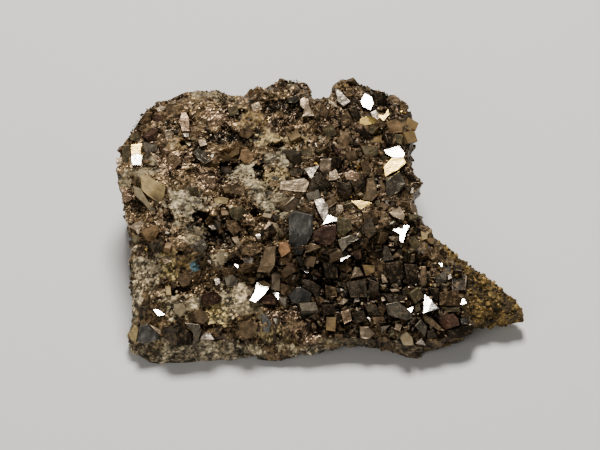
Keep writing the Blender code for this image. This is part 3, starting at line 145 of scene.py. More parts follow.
# Crystal faces as they are seen on the display face: the kind of face, which says its finish and how it is
# turned, and the right and up of each corner in turn. The last seven are made up, to fill the crust there.
CRYSTAL_FACES = (
    ("bright", -42.2, 17.3, -40.8, 17.9, -39.5, 17.4, -39.8, 15, -41.9, 15),
    ("gold", -42.3, 20.1, -39.5, 20.4, -39.5, 17.5, -40.8, 18, -42.1, 17.4),
    ("olive", -44.1, 19.7, -42.3, 20.1, -42.2, 16.6, -41.9, 15, -43.5, 13.3, -44.4, 16.9),
    ("tan", -46, 16.8, -44.6, 17.1, -44.6, 15.1, -45.2, 14.4, -46, 15.4),
    ("red", -35.7, 27.9, -34.3, 26.9, -35.1, 24.8, -37.7, 25.2, -36.6, 26.9),
    ("red", -39.3, 22.6, -36.9, 24.3, -35.5, 24, -35.8, 21.6, -36, 20.1, -38.2, 21),
    ("tan", -36.2, 29.1, -34.9, 30, -33.3, 29.9, -34, 28, -35.2, 28.2),
    ("tan", -33.5, 31.2, -32.3, 30.8, -31, 31.5, -30.9, 29.2, -31.9, 29.4),
    ("brown", -33.3, 29.8, -30.4, 29, -31, 26.9, -32.9, 26.3, -33.5, 27.9),
    ("tan", -34, 23.7, -32.4, 23.8, -31.5, 22.9, -32.6, 20.2, -33.7, 21.9),
    ("steel", -32.3, 24, -30.5, 23.8, -30.4, 23.2, -31.3, 22.4),
    ("pink", -29.7, 28.2, -28.5, 28.3, -27.6, 26.3, -27.6, 23.5, -29.4, 23.5, -30.4, 26),
    ("silver", -29.3, 22.9, -27.6, 23, -28, 21.9, -29, 22.1),
    ("brown", -40.4, 25.7, -38.7, 28.2, -36.9, 28.2, -37.6, 25.4, -38.8, 24.7),
    ("olive", -42.9, 22.2, -41.3, 23.2, -39.9, 23, -40, 21, -42.2, 21),
    ("steel", -39.3, 21, -35.7, 19.9, -35.7, 18.5, -38.2, 17.7, -39.4, 19.7),
    ("steel", -26.9, 18.2, -25.5, 19.3, -23.8, 18.2, -22.2, 16, -23.7, 15.2, -26, 16.9),
    ("silver", -23.3, 17.7, -21.3, 17.9, -21.8, 16.8),
    ("ochre", -20.4, 16.9, -17.9, 17.6, -16, 19.4, -15.1, 19.4, -15.2, 17.9, -17.6, 16.5, -19.4, 15.5),
    ("rust", -14.7, 18.8, -12.9, 19.1, -11.8, 17.6, -11.9, 16, -13.8, 15.4, -15.1, 16.6),
    ("dark", -19.6, 14.7, -17.2, 14.6, -17.1, 12.9, -18.8, 12.2, -20, 13.5),
    ("tan", 0, 31.6, 1, 32.1, 2, 31.8, 2.4, 29.8, 3.5, 27.3, 0.6, 27.1, 1.3, 28.8, 0, 29.8),
    ("steel", -3, 31.9, -0.7, 32.6, -0.1, 31.3, -1.3, 30.5, -2.9, 30.7),
    ("silver", 9, 34.1, 10.1, 33.5, 12.6, 31, 10.9, 29.6, 9.3, 31),
    ("tan", 7, 31.6, 9, 30.5, 9.3, 29.4, 7.4, 29.7),
    ("bronze", 11.7, 28.7, 12.9, 26.9, 14, 24, 10.2, 24.9, 10.2, 26.9),
    ("dark", 12.3, 29, 14, 29.7, 15.6, 26.6, 14.9, 23.5, 14, 24.7),
    ("dark", 13.1, 32.1, 14.5, 31.8, 14.9, 29.9, 13.1, 29.9),
    ("bright", 15.2, 31, 16.2, 32.9, 17.9, 32.1, 18.4, 30.5, 17.6, 28.8, 15.6, 29.7),
    ("silver", 17.6, 28.2, 19, 28.8, 19.9, 27.6, 19.8, 26.3, 18.4, 26.5),
    ("gold", 19.5, 27.6, 21.5, 27.4, 22.1, 29.1, 22.3, 27.6, 20.9, 26.1, 19.8, 26.5),
    ("dark", 18.5, 33.2, 21.5, 32.1, 22.1, 29.7, 20.2, 29, 18.7, 30.4),
    ("rust", 21.7, 25.7, 24, 26.5, 25.7, 25.2, 25.6, 23.2, 22.1, 23),
    ("ochre", 18.4, 21.9, 20.4, 22.6, 20.4, 20.7, 18.1, 20.7),
    ("dark", 14.9, 23.5, 17.1, 23.8, 18.1, 21.6, 16.2, 21),
    ("brown", 9.9, 23.5, 12.1, 23.2, 12.7, 21, 11.5, 18.5, 9.6, 19.7),
    ("olive", 15.2, 19.7, 19, 19.9, 19.8, 17.9, 18, 16.6, 16.2, 17.3),
    ("bright", 20.9, 18.8, 24.9, 20, 26.2, 17.9, 25.9, 17, 23.4, 16.9, 21.8, 17.7),
    ("gold", 22.9, 16.8, 25.9, 16.8, 26.5, 15.7, 24.9, 14.1, 21.3, 12.1, 20.9, 14.4),
    ("tan", 5.1, 16.5, 7.9, 16.6, 7.6, 13.2, 6.3, 12.2, 4.8, 14.1), ("silver", 1, 14.1, 4.8, 14.9, 2.8, 11.4),
    ("dark", 8.1, 16.9, 10.2, 16.8, 10.6, 14.7, 8.1, 13.5),
    ("tan", 7.4, 13.2, 9, 14, 10.1, 11.9, 9, 11.2, 7.1, 11.2),
    ("pink", 11.2, 12.6, 12.7, 13.8, 14.9, 12.6, 14.9, 11, 11.5, 11.3),
    ("brown", 15.2, 15.4, 17.1, 16, 18.1, 12.6, 15.9, 12.2),
    ("silver", 3.8, 20.5, 5.1, 20.7, 5.2, 19.1, 4, 19.7), ("red", 8.1, 19.4, 9.9, 19.1, 10.9, 17.2, 9, 17.9),
    ("olive", -0.1, 18.5, 2.7, 19.4, 3.1, 17.2, 0.9, 16.6),
    ("dark", -2.7, 13.5, -0.1, 14.7, 1, 13.5, 0, 11.9, -2.2, 12.2),
    ("brown", 0.6, 15.4, 2.7, 16.3, 3.7, 15.7, 1.5, 14.7),
    ("tan", -4.9, 10.9, 1, 11.9, 2.3, 10.8, 1.5, 8.2, -5.1, 8.8),
    ("brown", -5, 8.5, 1.3, 8, -0.1, 6.7, -2.6, 6.9), ("dark", 2.8, 11.6, 5.1, 13, 8, 10, 6.5, 8.8, 2, 8.2),
    ("steel", 1.4, 7.8, 4.6, 8.9, 5.2, 7, 2.1, 5.9),
    ("silver", 3.5, 6.4, 5.6, 6.8, 7.1, 4.7, 7, 2.5, 6, 0.5, 4.6, 3.4),
    ("bright", 7, 2.5, 9.8, 1.7, 9.5, 1.2, 5.7, 0.2, 6.4, 1.4),
    ("tan", 9, 5, 10.6, 5, 11, 3.7, 9.8, 2.2, 9, 2.8), ("dark", 7.2, 4.2, 8.8, 4.5, 8.9, 3, 7.5, 2.6),
    ("slate", -2.8, 2.2, -1.2, 3.4, 3.1, 2.4, 3.2, -1.8, 0.4, -7.4, -1.2, -7.2, -2.7, -4.6),
    ("brown", -1.3, 3.5, 1.5, 4.7, 3.4, 4.1, 4.3, 1.9, 3.6, 1.4, 2.4, 3.2),
    ("red", 3.5, -1.6, 5.9, -0.3, 9, 0, 8.9, -3.5, 7.4, -5, 5, -4.8, 2.8, -3.6),
    ("bronze", 2.3, -4.4, 4.8, -5.1, 5.2, -5.6, 2.4, -6.7, 1, -7.1),
    ("olive", 9.3, 1.9, 12.7, 1.6, 13.1, -0.9, 10.6, -3.1, 9.2, -1.9),
    ("steel", 9.3, -3.7, 12.7, -2.5, 14.9, -3.4, 12.1, -5, 10.6, -6.6),
    ("amber", -5.1, -4.4, -3.2, -4.2, -2.4, -6.6, -4.6, -8.1, -5.4, -6.2),
    ("bronze", -8.7, -5.6, -6, -5.3, -6.3, -10, -7.6, -11.9, -10.8, -11.7, -9.8, -8.8),
    ("bright", 9.8, -6.9, 11.5, -6.2, 12.6, -7.8, 10.2, -9.1),
    ("red", 12.9, -6.6, 15.2, -5.9, 15.4, -8.4, 14, -8.7),
    ("gold", 12.7, 6.1, 15.6, 6.1, 18.1, 5.5, 15.1, 3.9),
    ("bronze", 16.8, 11.6, 18.4, 11.9, 19.5, 7.5, 18, 5.9, 15.4, 6.4, 16.5, 8.4),
    ("dark", 14.9, 11.9, 16.6, 11.2, 16.3, 8.6, 14, 7.6, 13.2, 9.7),
    ("steel", 21.5, 11.2, 24.9, 13.4, 26.5, 10.3, 24.9, 8.4, 22.1, 6.9, 21.5, 8.4),
    ("brown", 19.9, 10.9, 21.2, 10.3, 21.8, 7.2, 20, 6.2),
    ("dark", 9.2, 11.2, 12.7, 10, 13.1, 6.9, 10.9, 5.9, 9.3, 8.1),
    ("bright", 22.4, -0.8, 23.4, 0.2, 27.4, -0.1, 26.3, -2.2, 25.7, -4.5, 24.9, -4, 25, -2.3),
    ("tan", 21.8, -2.8, 24.7, -2.8, 24.6, -4, 22.8, -3.9),
    ("bronze", 20.2, 3.7, 22, 2.8, 22.2, 0, 19.9, -0.9),
    ("tan", 22.1, 3.1, 25.2, 4.5, 26.2, 2.5, 25.9, 1.2, 23.1, 2.2),
    ("silver", 21.2, 6.2, 22.4, 6.2, 22.1, 5.4, 21.3, 5.4),
    ("steel", 20.9, -5, 22.1, -5.6, 23.5, -8.6, 20.6, -9.2),
    ("ochre", 15.6, -10, 18.7, -10.2, 18.7, -11.9, 16.5, -12.9),
    ("sand", -39.9, 12.2, -38.3, 12.3, -36, 10.9, -33.7, 9.8, -34, 7.5, -35.2, 5.2, -37.6, 7, -39.6, 8.7),
    ("gangue", -41.6, 9.7, -39.9, 9.1, -38.2, 6.2, -36, 3, -37.1, 3, -39.3, 5.6, -41.3, 7.5),
    ("pink", -44.4, 7.8, -42.6, 8.1, -41.9, 6.6, -43.5, 5.5, -44.6, 6.6),
    ("tan", -42.9, -0.2, -39.7, 1.2, -38.7, 0.3, -39.6, -1.2, -40.4, -2.5, -41.3, -1.2),
    ("olive", -42.2, -2.8, -40.4, -2.6, -39.9, -4.5, -41.6, -4.4),
    ("rust", -39.6, -1.6, -35.7, 0, -35.1, -1.6, -36.6, -4.4, -38.5, -3.7),
    ("dark", -38.2, -4.7, -34.7, -3.1, -33.8, -4.7, -35, -6.6, -36.9, -6.6),
    ("pink", -25, 11.9, -21.3, 12.2, -21, 9.7, -21.6, 8.6, -24.4, 10.3),
    ("sand", -21.6, 6.6, -19.4, 7, -17.9, 6.6, -18.2, 5.2, -21.3, 5.2),
    ("bronze", -19.7, 9.9, -15, 10.1, -12.9, 8.2, -13.4, 7.3, -18.8, 8),
    ("olive", -17.9, 4.4, -14.7, 4.8, -12.9, 3.1, -14.7, 0.6, -17.2, 1.9),
    ("brown", -18.5, 1.2, -16, 1.2, -14.7, -1.2, -16.6, -2.8, -18.2, -0.9),
    ("tan", -17.2, -3.1, -15.7, -2.8, -14.7, -5, -15.4, -5.9),
    ("silver", -23, -0.3, -21.6, 0, -20.8, -1.1, -21.9, -1.2),
    ("brown", -14.7, -5.3, -11, -4.7, -9.7, -6.6, -11.6, -7.8, -14.7, -7.2),
    ("silver", -14.7, -8.1, -11.3, -8.1, -12.2, -9.7, -13.8, -9.4),
    ("gangue", -20.7, -6.6, -19.1, -6.2, -18.8, -9.4, -20, -10, -21, -8.1),
    ("bright", -36.9, -21, -35.4, -21.2, -33.7, -22.4, -35.5, -22.8),
    ("slate", -40.1, -25.4, -38.2, -24.8, -35.1, -27.6, -35.2, -28.6, -39, -29.7, -40.8, -29.2),
    ("tan", -37.8, -24.8, -36.3, -25.4, -34.7, -26.3, -34.9, -27.4, -36.2, -26.5),
    ("dark", -40.4, -20.4, -38.5, -20.4, -38.2, -24.4, -39.7, -25, -40.4, -22.9),
    ("sand", -42.9, -27.2, -41.3, -25, -40.3, -25.6, -41, -29.1, -42.2, -28.8),
    ("dark", -34.1, -25.7, -30.4, -24.7, -27, -27.2, -27.2, -30, -31.9, -30.4, -33.8, -28.2),
    ("steel", -28.7, -24.5, -25, -24.9, -24.8, -27, -25.6, -29.2, -26.8, -29.5, -26.7, -27.1),
    ("silver", -24.4, -26, -22.7, -26.3, -21.5, -28.7, -25, -28.5),
    ("brown", -28.5, -22.2, -24.7, -21, -22.9, -23.5, -24.1, -24.7, -27.9, -23.8),
    ("red", -24.7, -17.6, -21.6, -16.5, -19.4, -18.2, -20.4, -19.7, -23.5, -19.7),
    ("bright", -10.8, -14.3, -9.1, -13.8, -7.2, -14.9, -8.8, -17.2, -11.2, -19.4, -12.6, -18.8, -11.4, -16.8),
    ("tan", -13.5, -16, -11.5, -15.7, -12.2, -17.6, -13.2, -17.6),
    ("bright", -7.1, -16.8, -5.2, -16.8, -5.4, -18.7, -6.3, -17.6),
    ("red", -10.4, -17.7, -7, -17.4, -5.4, -18.9, -6, -20, -10.2, -19.5),
    ("tan", -7.1, -12.2, -6.3, -11.6, -4.9, -11.9, -5.1, -16.5, -7.2, -16),
    ("slate", -9.7, -22.2, -8.2, -22.6, -7.1, -24.7, -7.9, -27.1, -9.1, -26.6, -9.6, -24.4),
    ("olive", -11, -20.5, -9.8, -20.6, -8.9, -22.2, -9.9, -24, -11, -23),
    ("slate", -2.9, -17.6, -1, -15.7, 0.2, -15.5, 2.9, -17.2, 2.4, -20, -0.1, -20, -2.2, -19.1),
    ("brown", -4.9, -14.4, -1.3, -15.6, -3.1, -17.7, -4.9, -17.2),
    ("dark", -0.1, -13.5, 2.7, -13.8, 5.2, -15.4, 4.6, -19.1, 3.2, -17.1, 0.6, -15.3),
    ("ochre", 6.5, -23, 9, -23.2, 8.8, -26.6, 6.5, -26.3),
    ("brown", 6.3, -15, 9, -15.7, 9.3, -17.9, 6.5, -18.2), ("dark", 5.2, -20, 8.7, -20, 9, -22.2, 5.9, -22.7),
    ("dark", 11.5, -14.4, 16.5, -13.5, 16.8, -18.1, 12.7, -18.1),
    ("dark", 17.1, -13.5, 19.6, -14.4, 19.9, -18.8, 17.2, -19),
    ("tan", 13.7, -10.4, 14.9, -10.7, 15.9, -12.7, 12.7, -13.4),
    ("tan", 20.2, -12.1, 21.2, -12.6, 22.1, -14.4, 20.6, -14.4),
    ("silver", 13.7, -18.3, 14.8, -18.2, 14.9, -19.1, 13.4, -19.4),
    ("tan", 9.3, -19.7, 10.9, -18.3, 12.1, -18.8, 10.9, -19.9),
    ("bright", 4.3, -14.9, 5.2, -15.3, 5.1, -16.3, 4.3, -16),
    ("bright", 0.6, -11.3, 1.5, -10.4, 2.4, -11.6, 1.8, -12.1), ("silver", 9.8, -16, 11, -15.8, 10.6, -16.6),
    ("silver", 3.2, -12.6, 4, -12.6, 4.2, -13.7, 3.2, -13.6),
    ("dark", 21.4, -9.6, 25.7, -9, 25.9, -13.5, 22.6, -14.7),
    ("dark", 26.1, -9.8, 29.3, -10, 29.6, -14.5, 27, -15.4),
    ("steel", 21.5, -19.8, 24.5, -19.3, 27.5, -21.5, 28.2, -23.2, 26.5, -23.9, 22, -22.4),
    ("dark", 20.9, -17.2, 24.3, -17.2, 26.5, -17.9, 26.2, -19.3, 22.1, -19.2),
    ("tan", 22.5, -16, 24.8, -15.9, 25, -16.6, 23, -16.8),
    ("tan", 14.9, -25.4, 17.1, -25.4, 18.7, -27.2, 17.1, -28.5, 15.2, -28.2),
    ("brown", 17.9, -23, 20.9, -23, 21.5, -24.4, 18.4, -24.7), ("steel", 20.2, -25.4, 22.7, -25, 20.2, -27.2),
    ("silver", 16.8, -22.9, 17.7, -23.3, 17.6, -24.3), ("pink", 10.2, -21.6, 12.4, -21, 13, -23.8, 11, -24.8),
    ("dark", 13, -22.2, 15.9, -21.4, 16.8, -23.9, 14, -24.7),
    ("dark", 15.9, -19.8, 19, -19.9, 20.2, -22.7, 17.1, -22.5),
    ("bright", 31.2, -17.2, 34.8, -20.7, 30.7, -22.1), ("bright", 25.6, -21.2, 28.5, -20.5, 27.6, -22.4),
    ("olive", 28.7, -20.1, 29.8, -19.4, 30.2, -21.3, 28.9, -21.9),
    ("bright", 40.7, -18, 41.8, -19.6, 40.1, -19.9),
    ("brown", 34.9, -16.9, 39.6, -16.3, 40, -19.1, 39.9, -20.4, 34.9, -20),
    ("olive", 34.9, -20.4, 39.9, -20.7, 40.2, -21.8, 36.5, -21.6),
    ("dark", 32.1, -15.7, 34.7, -16, 34.7, -19.4, 33.4, -18.5),
    ("bronze", 30.4, -10.4, 31.5, -10.4, 31.7, -15, 29.9, -15.7, 29.9, -12.9),
    ("steel", 33.1, -13.8, 35.9, -11.6, 36.8, -12.2, 36.5, -14.1, 34.9, -14.9),
    ("silver", 37, -12.6, 37.7, -12.2, 38, -13.2, 37.1, -13.7),
    ("bronze", 30.7, -22.6, 32.7, -23.1, 36.2, -26.4, 34.6, -26.3, 31.2, -24.1),
    ("red", 33, -22.9, 38.4, -22.2, 39.6, -23.5, 39.9, -25, 36.4, -26.2),
    ("slate", 40, -23.4, 42.1, -23.2, 42, -24.7, 40.3, -24.8),
    ("dark", 36.8, -26.6, 40.2, -25.4, 43.8, -25.4, 43, -27.4, 39.6, -28.4, 37.4, -28.2),
    ("silver", 30.4, -28.2, 31.5, -30.1, 28.8, -29.6),
    ("gangue", 24.9, -27.9, 26.5, -26.5, 28.1, -28.2, 28.4, -30.1, 25.9, -30.1),
    ("dark", 31.5, -26.6, 33.4, -26, 34.3, -27.9, 32.1, -29.1),
    ("steel", 28.7, -25.2, 30.2, -23.5, 31.9, -25.4, 31.2, -27.9),
    ("silver", 27.1, 9.1, 28.5, 9.4, 28.4, 8, 26.7, 7.8),
    ("dark", 25.2, 12.8, 28, 12.6, 29.4, 10.6, 27.1, 10.3), ("bright", 34.6, -9.5, 35.7, -9.5, 35.5, -10.6),
    ("olive", 27.1, -4.1, 28.7, -2.8, 29.9, -4.4, 29.3, -6.2, 28.1, -6.2),
    ("sand", 30.2, -1.6, 32, -2.1, 31.8, -3.4, 30.6, -3.7),
    ("brown", 33.4, -5, 34.6, -4.9, 35.2, -8.1, 33.7, -8.7),
    ("brown", -15.1, 24, -12.7, 24.4, -11.6, 22.9, -13, 21.6, -15.4, 22.2),
    ("tan", 24, -24.6, 25.6, -24.9, 25, -26.6, 23.6, -26),
    ("brown", 15.6, 3.4, 19.6, 3.6, 19.4, 0.2, 16.2, -0.2),
    ("brown", 11.2, 17.9, 13.6, 18.7, 14.6, 16.6, 12, 15.6),
    ("dark", 17.2, 2.9, 15, -1.4, 17.2, -3.5, 19.3, -1.6),
    ("olive", 5.4, 24.5, 8.4, 25, 9.2, 22.4, 6.3, 21.6),
    ("dark", 5.6, -9.2, 9.2, -9.6, 9.5, -13.2, 6.3, -13.4),
    ("brown", 5.4, 30.4, 7.4, 28.7, 6.6, 26.6, 4.6, 27.6),
    ("brown", -30.4, -12.2, -28.3, -11.9, -27.2, -13.2, -27.6, -15, -29.6, -15.4, -30.6, -13.8),
    ("silver", -21.6, -13.4, -20.2, -13.2, -19.8, -14.6, -21, -15),
    ("steel", -18.9, -13.2, -16.8, -12.4, -15.4, -13.8, -16.2, -15.4, -18.4, -15.2),
    ("silver", -11.2, -2.4, -9.8, -2, -9.4, -3.2, -10.6, -3.6),
    ("bright", -16.6, -9.8, -15.4, -9.6, -15.5, -10.8), ("silver", -23.4, -8.7, -22.2, -8.6, -22.3, -9.8),
    ("sand", -33.7, -15.2, -32.4, -15.4, -32.2, -17.6, -33.4, -17.5),
    ("gangue", -31.6, -19.8, -29.4, -19.6, -28.2, -21.4, -30, -23.2, -31.4, -22),
    ("brown", -15.6, -24.4, -12.4, -23.8, -10.6, -25.6, -12, -28, -15, -27.8),
    ("tan", -34.8, -8.2, -32.6, -7.6, -32, -9, -33.8, -9.9),
    ("steel", -26.6, -4.6, -24.2, -3.4, -23, -5.4, -24.4, -7, -26.4, -6.6),
    ("tan", -25.6, 21.4, -23.8, 21.8, -23.2, 20.2, -24.9, 19.6),
    ("brown", -33.4, 16.4, -31, 17.6, -29.6, 15.8, -31.2, 14.2, -33, 14.8),
    ("olive", -27.8, 9.4, -25.6, 9.9, -25.2, 7.4, -27.2, 6.8),
    ("tan", -12.4, 30.2, -10.2, 30.8, -9.4, 29, -11.6, 28.4),
    ("olive", -18.2, 29.4, -15.8, 29.8, -15.2, 27.8, -17.6, 27.2),
)

# How a face is turned, by kind: the least and the most lean up, and the most lean to either side, in degrees.
# Each face's own lean is spread between them by its number and these steps.
LEANS = {
    "bright": (30, 33, 2), "gold": (22, 27, 4), "silver": (14, 24, 8), "tan": (2, 20, 12),
    "sand": (0, 15, 10), "pink": (5, 25, 10), "gangue": (0, 15, 10), "dark": (-18, 2, 12),
    "slate": (-8, 0, 6),
}
OTHER_LEAN = (-12, 10, 14)
LEAN_STEPS = (0.618, 0.755)

# Crystals behind those faces: how far they stand proud, how deep they reach, the rings of a face, how it is
# folded, and how their sides spread
STAND = (0.34, 0.3)
MOST_STAND = 1.9
DEPTH = (0.6, 1.0)
DEEPEST = 6.5
AROUND = 48
FACE_SHARES = (0.22, 0.45, 0.68, 0.86, 0.975, 1.0)
EDGE_FALL = 0.008
FOLD_PLACE = 0.08
FOLD_SLOPES = (0.04, 0.3)
BRIGHT_FOLD = 0.11
BRIGHT_FOLD_CHANCE = 0.5
SIDE_RINGS = ((1.0, 0.04), (1.05, 0.4), (1.08, 1.0))

# Crystals between those: the steepest ground they are sown on as densely, where they end at the top, their
# skew and bevel, the least colour that painted contact shade leaves them at the ground, where they are
# coarse, and the roof of the wedges
STEEPEST = 2.5
HIGHEST = 32.3
CRYSTAL_SKEW = math.radians(11)
BEVEL_PULL = (0.0, 0.018, 0.03)
CONTACT_SHADE_LEAST = 0.3
COARSE_UP = (-34, -27, -22, -16, -6, 4, 12, 22, 30, 36)
COARSE_START = (6, 0, -8, -18, -16, -13, -11, -4, 1, 3)
COARSE_BLEND = 13.0
COARSE_HOLLOW = (-20.0, -2.0, 7.0, 5.5, 0.6)
RIDGE_HALF = 0.5
SHOULDERS = (0.3, -0.1, 0.3, -0.1)

# Growth steps on the standing crystals' faces, which are lower on bright and gold ones
STEP_HEIGHT = 0.13
BRIGHT_STEP_HEIGHT = 0.03
STEP_CELL = 1.6
STEP_LEVELS = 3
STEP_LAYERS = (2, 0.4)

# Finishes: colour, roughness, metallic and how much stain it takes
FINISHES = {
    "bright": ((0.84, 0.80, 0.72), 0.20, 1.0, 0.0),
    "gold": ((0.62, 0.43, 0.13), 0.28, 1.0, 0.1),
    "silver": ((0.42, 0.36, 0.29), 0.34, 0.9, 0.1),
    "tan": ((0.25, 0.19, 0.125), 0.40, 0.8, 0.3),
    "bronze": ((0.155, 0.108, 0.062), 0.38, 0.8, 0.4),
    "brown": ((0.090, 0.060, 0.032), 0.36, 0.8, 0.6),
    "red": ((0.064, 0.033, 0.022), 0.38, 0.7, 0.3),
    "steel": ((0.108, 0.093, 0.068), 0.36, 0.8, 0.2),
    "slate": ((0.103, 0.097, 0.086), 0.36, 0.8, 0.1),
    "olive": ((0.120, 0.098, 0.054), 0.40, 0.7, 0.4),
    "dark": ((0.046, 0.035, 0.023), 0.30, 0.8, 0.3),
    "rust": ((0.19, 0.115, 0.05), 0.50, 0.4, 0.6),
    "amber": ((0.23, 0.115, 0.045), 0.55, 0.2, 0.2),
    "ochre": ((0.185, 0.120, 0.044), 0.60, 0.1, 0.5),
    "sand": ((0.36, 0.265, 0.115), 0.70, 0.0, 0.3),
    "gangue": ((0.190, 0.152, 0.085), 0.80, 0.0, 0.3),
    "clay": ((0.315, 0.260, 0.158), 0.80, 0.0, 0.25),
    "beige": ((0.50, 0.405, 0.24), 0.80, 0.0, 0.2),
    "druse": ((0.136, 0.091, 0.046), 0.33, 0.75, 0.5),
    "pink": ((0.195, 0.130, 0.080), 0.31, 0.85, 0.2),
    # Painted shade: an almost lightless colour for the deep holes in the ground
    "hollow_shade": ((0.018, 0.013, 0.009), 0.55, 0.95, 0.1),
    "straw": ((0.74, 0.57, 0.23), 0.75, 0.0, 0.1),
    "cream": ((0.68, 0.55, 0.34), 0.80, 0.0, 0.1),
    "blue": ((0.13, 0.25, 0.28), 0.60, 0.0, 0.0),
}
FINISH_NAMES = list(FINISHES)

# Chances of the finishes among the small crystals
CHANCE_FINISHES = {
    "brown": 0.25, "dark": 0.25, "steel": 0.1, "olive": 0.13, "tan": 0.11, "bronze": 0.08, "druse": 0.04,
    "pink": 0.02, "red": 0.03, "rust": 0.03, "gold": 0.012, "silver": 0.02,
}

# Patches of the ground on the display face: right, up, half width, half height, and the finish there. Later
# ones lie over earlier ones. The darkest ones are painted shade in the ground's deep holes.
PATCHES = (
    (14, -15, 26, 11, "dark"), (14, 24, 9, 8, "brown"), (15, 5, 12, 9, "brown"), (30, -20, 11, 6, "dark"),
    (-21.5, -1.5, 6, 4.5, "dark"), (3, -8.6, 9, 2.4, "dark"), (-33, 3, 4.5, 5, "brown"),
    (-37, -4, 4, 3.5, "brown"), (-36, 24, 4.5, 5, "brown"), (-17, 22, 6, 1.6, "dark"),
    (-4, 29, 5, 1.3, "dark"), (-18.5, 13.5, 2.5, 2.5, "dark"), (-43.5, 11.5, 3, 4, "gangue"),
    (-39.5, 13.5, 4, 2, "gangue"), (-37.5, 16.5, 2.5, 1.6, "gangue"), (-29, 5.5, 5.5, 4, "clay"),
    (-26.5, -1, 3, 5, "gangue"), (-31, 0.5, 3.5, 1.6, "gangue"), (-20.3, -8, 1.8, 2.6, "beige"),
    (-13.8, 12.8, 3.5, 2.4, "clay"), (-10, 8.5, 2.7, 4.5, "clay"), (-5.8, 5.8, 5.5, 4.5, "clay"),
    (-4.5, 16.5, 4.2, 2.6, "clay"), (-41.2, -17, 1.6, 7.5, "beige"), (-29, -20.5, 4.5, 2.4, "beige"),
    (-16.5, -18.5, 5.5, 3.4, "beige"), (-32.5, -17, 3, 1.6, "beige"), (-12.5, -20.5, 3, 2.4, "gangue"),
    (10, -28.8, 8, 1.3, "gangue"), (-1.5, -31, 3.5, 1.4, "beige"), (-22.5, 32.5, 5, 1.3, "gangue"),
    (-12.8, 26.5, 4.5, 2.6, "ochre"), (-8, 21.5, 3.8, 2.2, "sand"), (-1.8, 21.3, 2.6, 1.4, "sand"),
    (1.5, 18.6, 2, 1.8, "ochre"), (-5, 12.4, 4, 2, "sand"), (9.5, 34.8, 3, 1.2, "ochre"),
    (27.2, 22.5, 1.6, 5, "ochre"), (-30.5, 21, 3, 2, "ochre"), (-33.2, -11, 2.8, 4.2, "straw"),
    (-28.5, -9, 2.4, 1.8, "ochre"), (-20.3, -22.5, 2.8, 2.8, "straw"), (-42.3, -27, 1.4, 2.4, "sand"),
    (3, -29.6, 6, 1.2, "ochre"), (-3, -27.6, 4, 1.6, "sand"), (-9, -28.5, 2.4, 2.2, "sand"),
    (25.8, -28.6, 2.2, 2.2, "sand"), (-13, -31.5, 5, 1.6, "beige"), (38, -10, 5, 4, "ochre"),
    (42, -16, 2.5, 7, "ochre"), (33, -4, 3, 3, "ochre"), (-20, 26.5, 4.5, 2.6, "pink"),
    (-5, 25.8, 3.6, 2, "pink"), (-23.5, 11.5, 4, 2.4, "pink"), (-31.5, 16.5, 4, 2, "pink"),
    (-43, 7, 1.8, 1.8, "pink"), (-38, -11.5, 3.4, 4.5, "cream"), (-4, -24, 3.6, 1.8, "pink"),
    (1.5, -27.5, 3, 1.8, "pink"), (12, 13.4, 3, 2, "pink"), (18, 1.5, 3.4, 3.4, "druse"),
    (-18, -29.4, 8, 1.2, "dark"), (-25.8, -9.6, 0.9, 1.1, "blue"), (-9.7, 13.7, 1.5, 1.5, "hollow_shade"),
    (-24, 2, 2.4, 1.8, "hollow_shade"), (-18.8, 14.6, 1.6, 1, "hollow_shade"), (-20.8, -2.6, 3, 1.4, "hollow_shade"),
    (-16.6, -9.6, 2.4, 1, "hollow_shade"), (-33, 1.6, 1.4, 2, "hollow_shade"), (-30.4, -7, 1.8, 0.9, "hollow_shade"),
    (-25.4, 15.2, 1.6, 0.8, "hollow_shade"), (-6, 20, 2, 0.7, "hollow_shade"), (4.5, -10, 4, 0.9, "hollow_shade"),
    (-22, -24.6, 2.6, 0.8, "hollow_shade"), (-28, 20.6, 1.8, 0.7, "hollow_shade"), (-11.4, 2.6, 1.6, 1.2, "hollow_shade"),
    (-31, -15.9, 1.8, 0.7, "hollow_shade"), (-13.6, 27.6, 1.8, 0.6, "hollow_shade"),
)
PATCH_WANDER = ((5.0, 1.3), (1.6, 0.6))

# Edges of those patches: cell and gain of the noise that frays them, how far they reach, how much they are
# frayed and how soft they are
PATCH_EDGE_CELL = 2.4
PATCH_EDGE_GAIN = 0.7
PATCH_REACH = 1.15
PATCH_FRAY = 0.5
PATCH_SOFTNESS = 0.3

# Lattice noise: factors that turn a cube's place and the seed into a random number
HASH_AXES = np.array((374761393, 668265263, 362437))
HASH_SEED = 144665
HASH_MIX = 1274126177
HASH_SHIFTS = (13, 16)
HASH_TOP = 0xFFFF

# Noises of the finishes: how fine, how many layers, and how strong each finer layer is
MOTTLE = (700.0, 4.0, 0.55)
SPECKLE = (3600.0, 2.0, 0.55)
STAINS = (900.0, 5.0, 0.7)
SHEEN = (1400.0, 3.0, 0.55)
CRYSTAL_LINES = (0.9, 3.0, 0.55)
GRAIN_LINES = (500.0, 3.0, 0.55)
GRIT = (1500.0, 5.0, 0.7)
BLOTCHES = (260.0, 5.0, 0.6)
FINE_GRIT = (4200.0, 2.0, 0.55)

# Crystal finish: how much mottle and speckle lighten it over the least, the grains of the druse, where stain
# shows and how strongly, and how high its growth lines, speckle and sheen stand
CRYSTAL_LIGHT = (0.7, 0.5)
CRYSTAL_LEAST_LIGHT = 0.4
DRUSE_GRAINS = (2100.0, 0.45)
STAIN_EDGES = (0.56, 0.72)
STAIN_PULL = 0.16
STAIN_GAIN = 4.0
STAIN_COVER = 0.45
STAIN_ROUGHENS = 0.35
STAIN_DULLS = 0.8
STAIN_TONES = ((0.12, 0.055, 0.018, 1), (0.34, 0.21, 0.075, 1))
SPECKLE_ROUGHENS = 0.2
LINE_STRETCH = (0.3, 2.6, 0.3)
CRYSTAL_HEIGHTS = (0.5, 0.35, 0.5)
CRYSTAL_BUMP = (0.35, 0.0002)

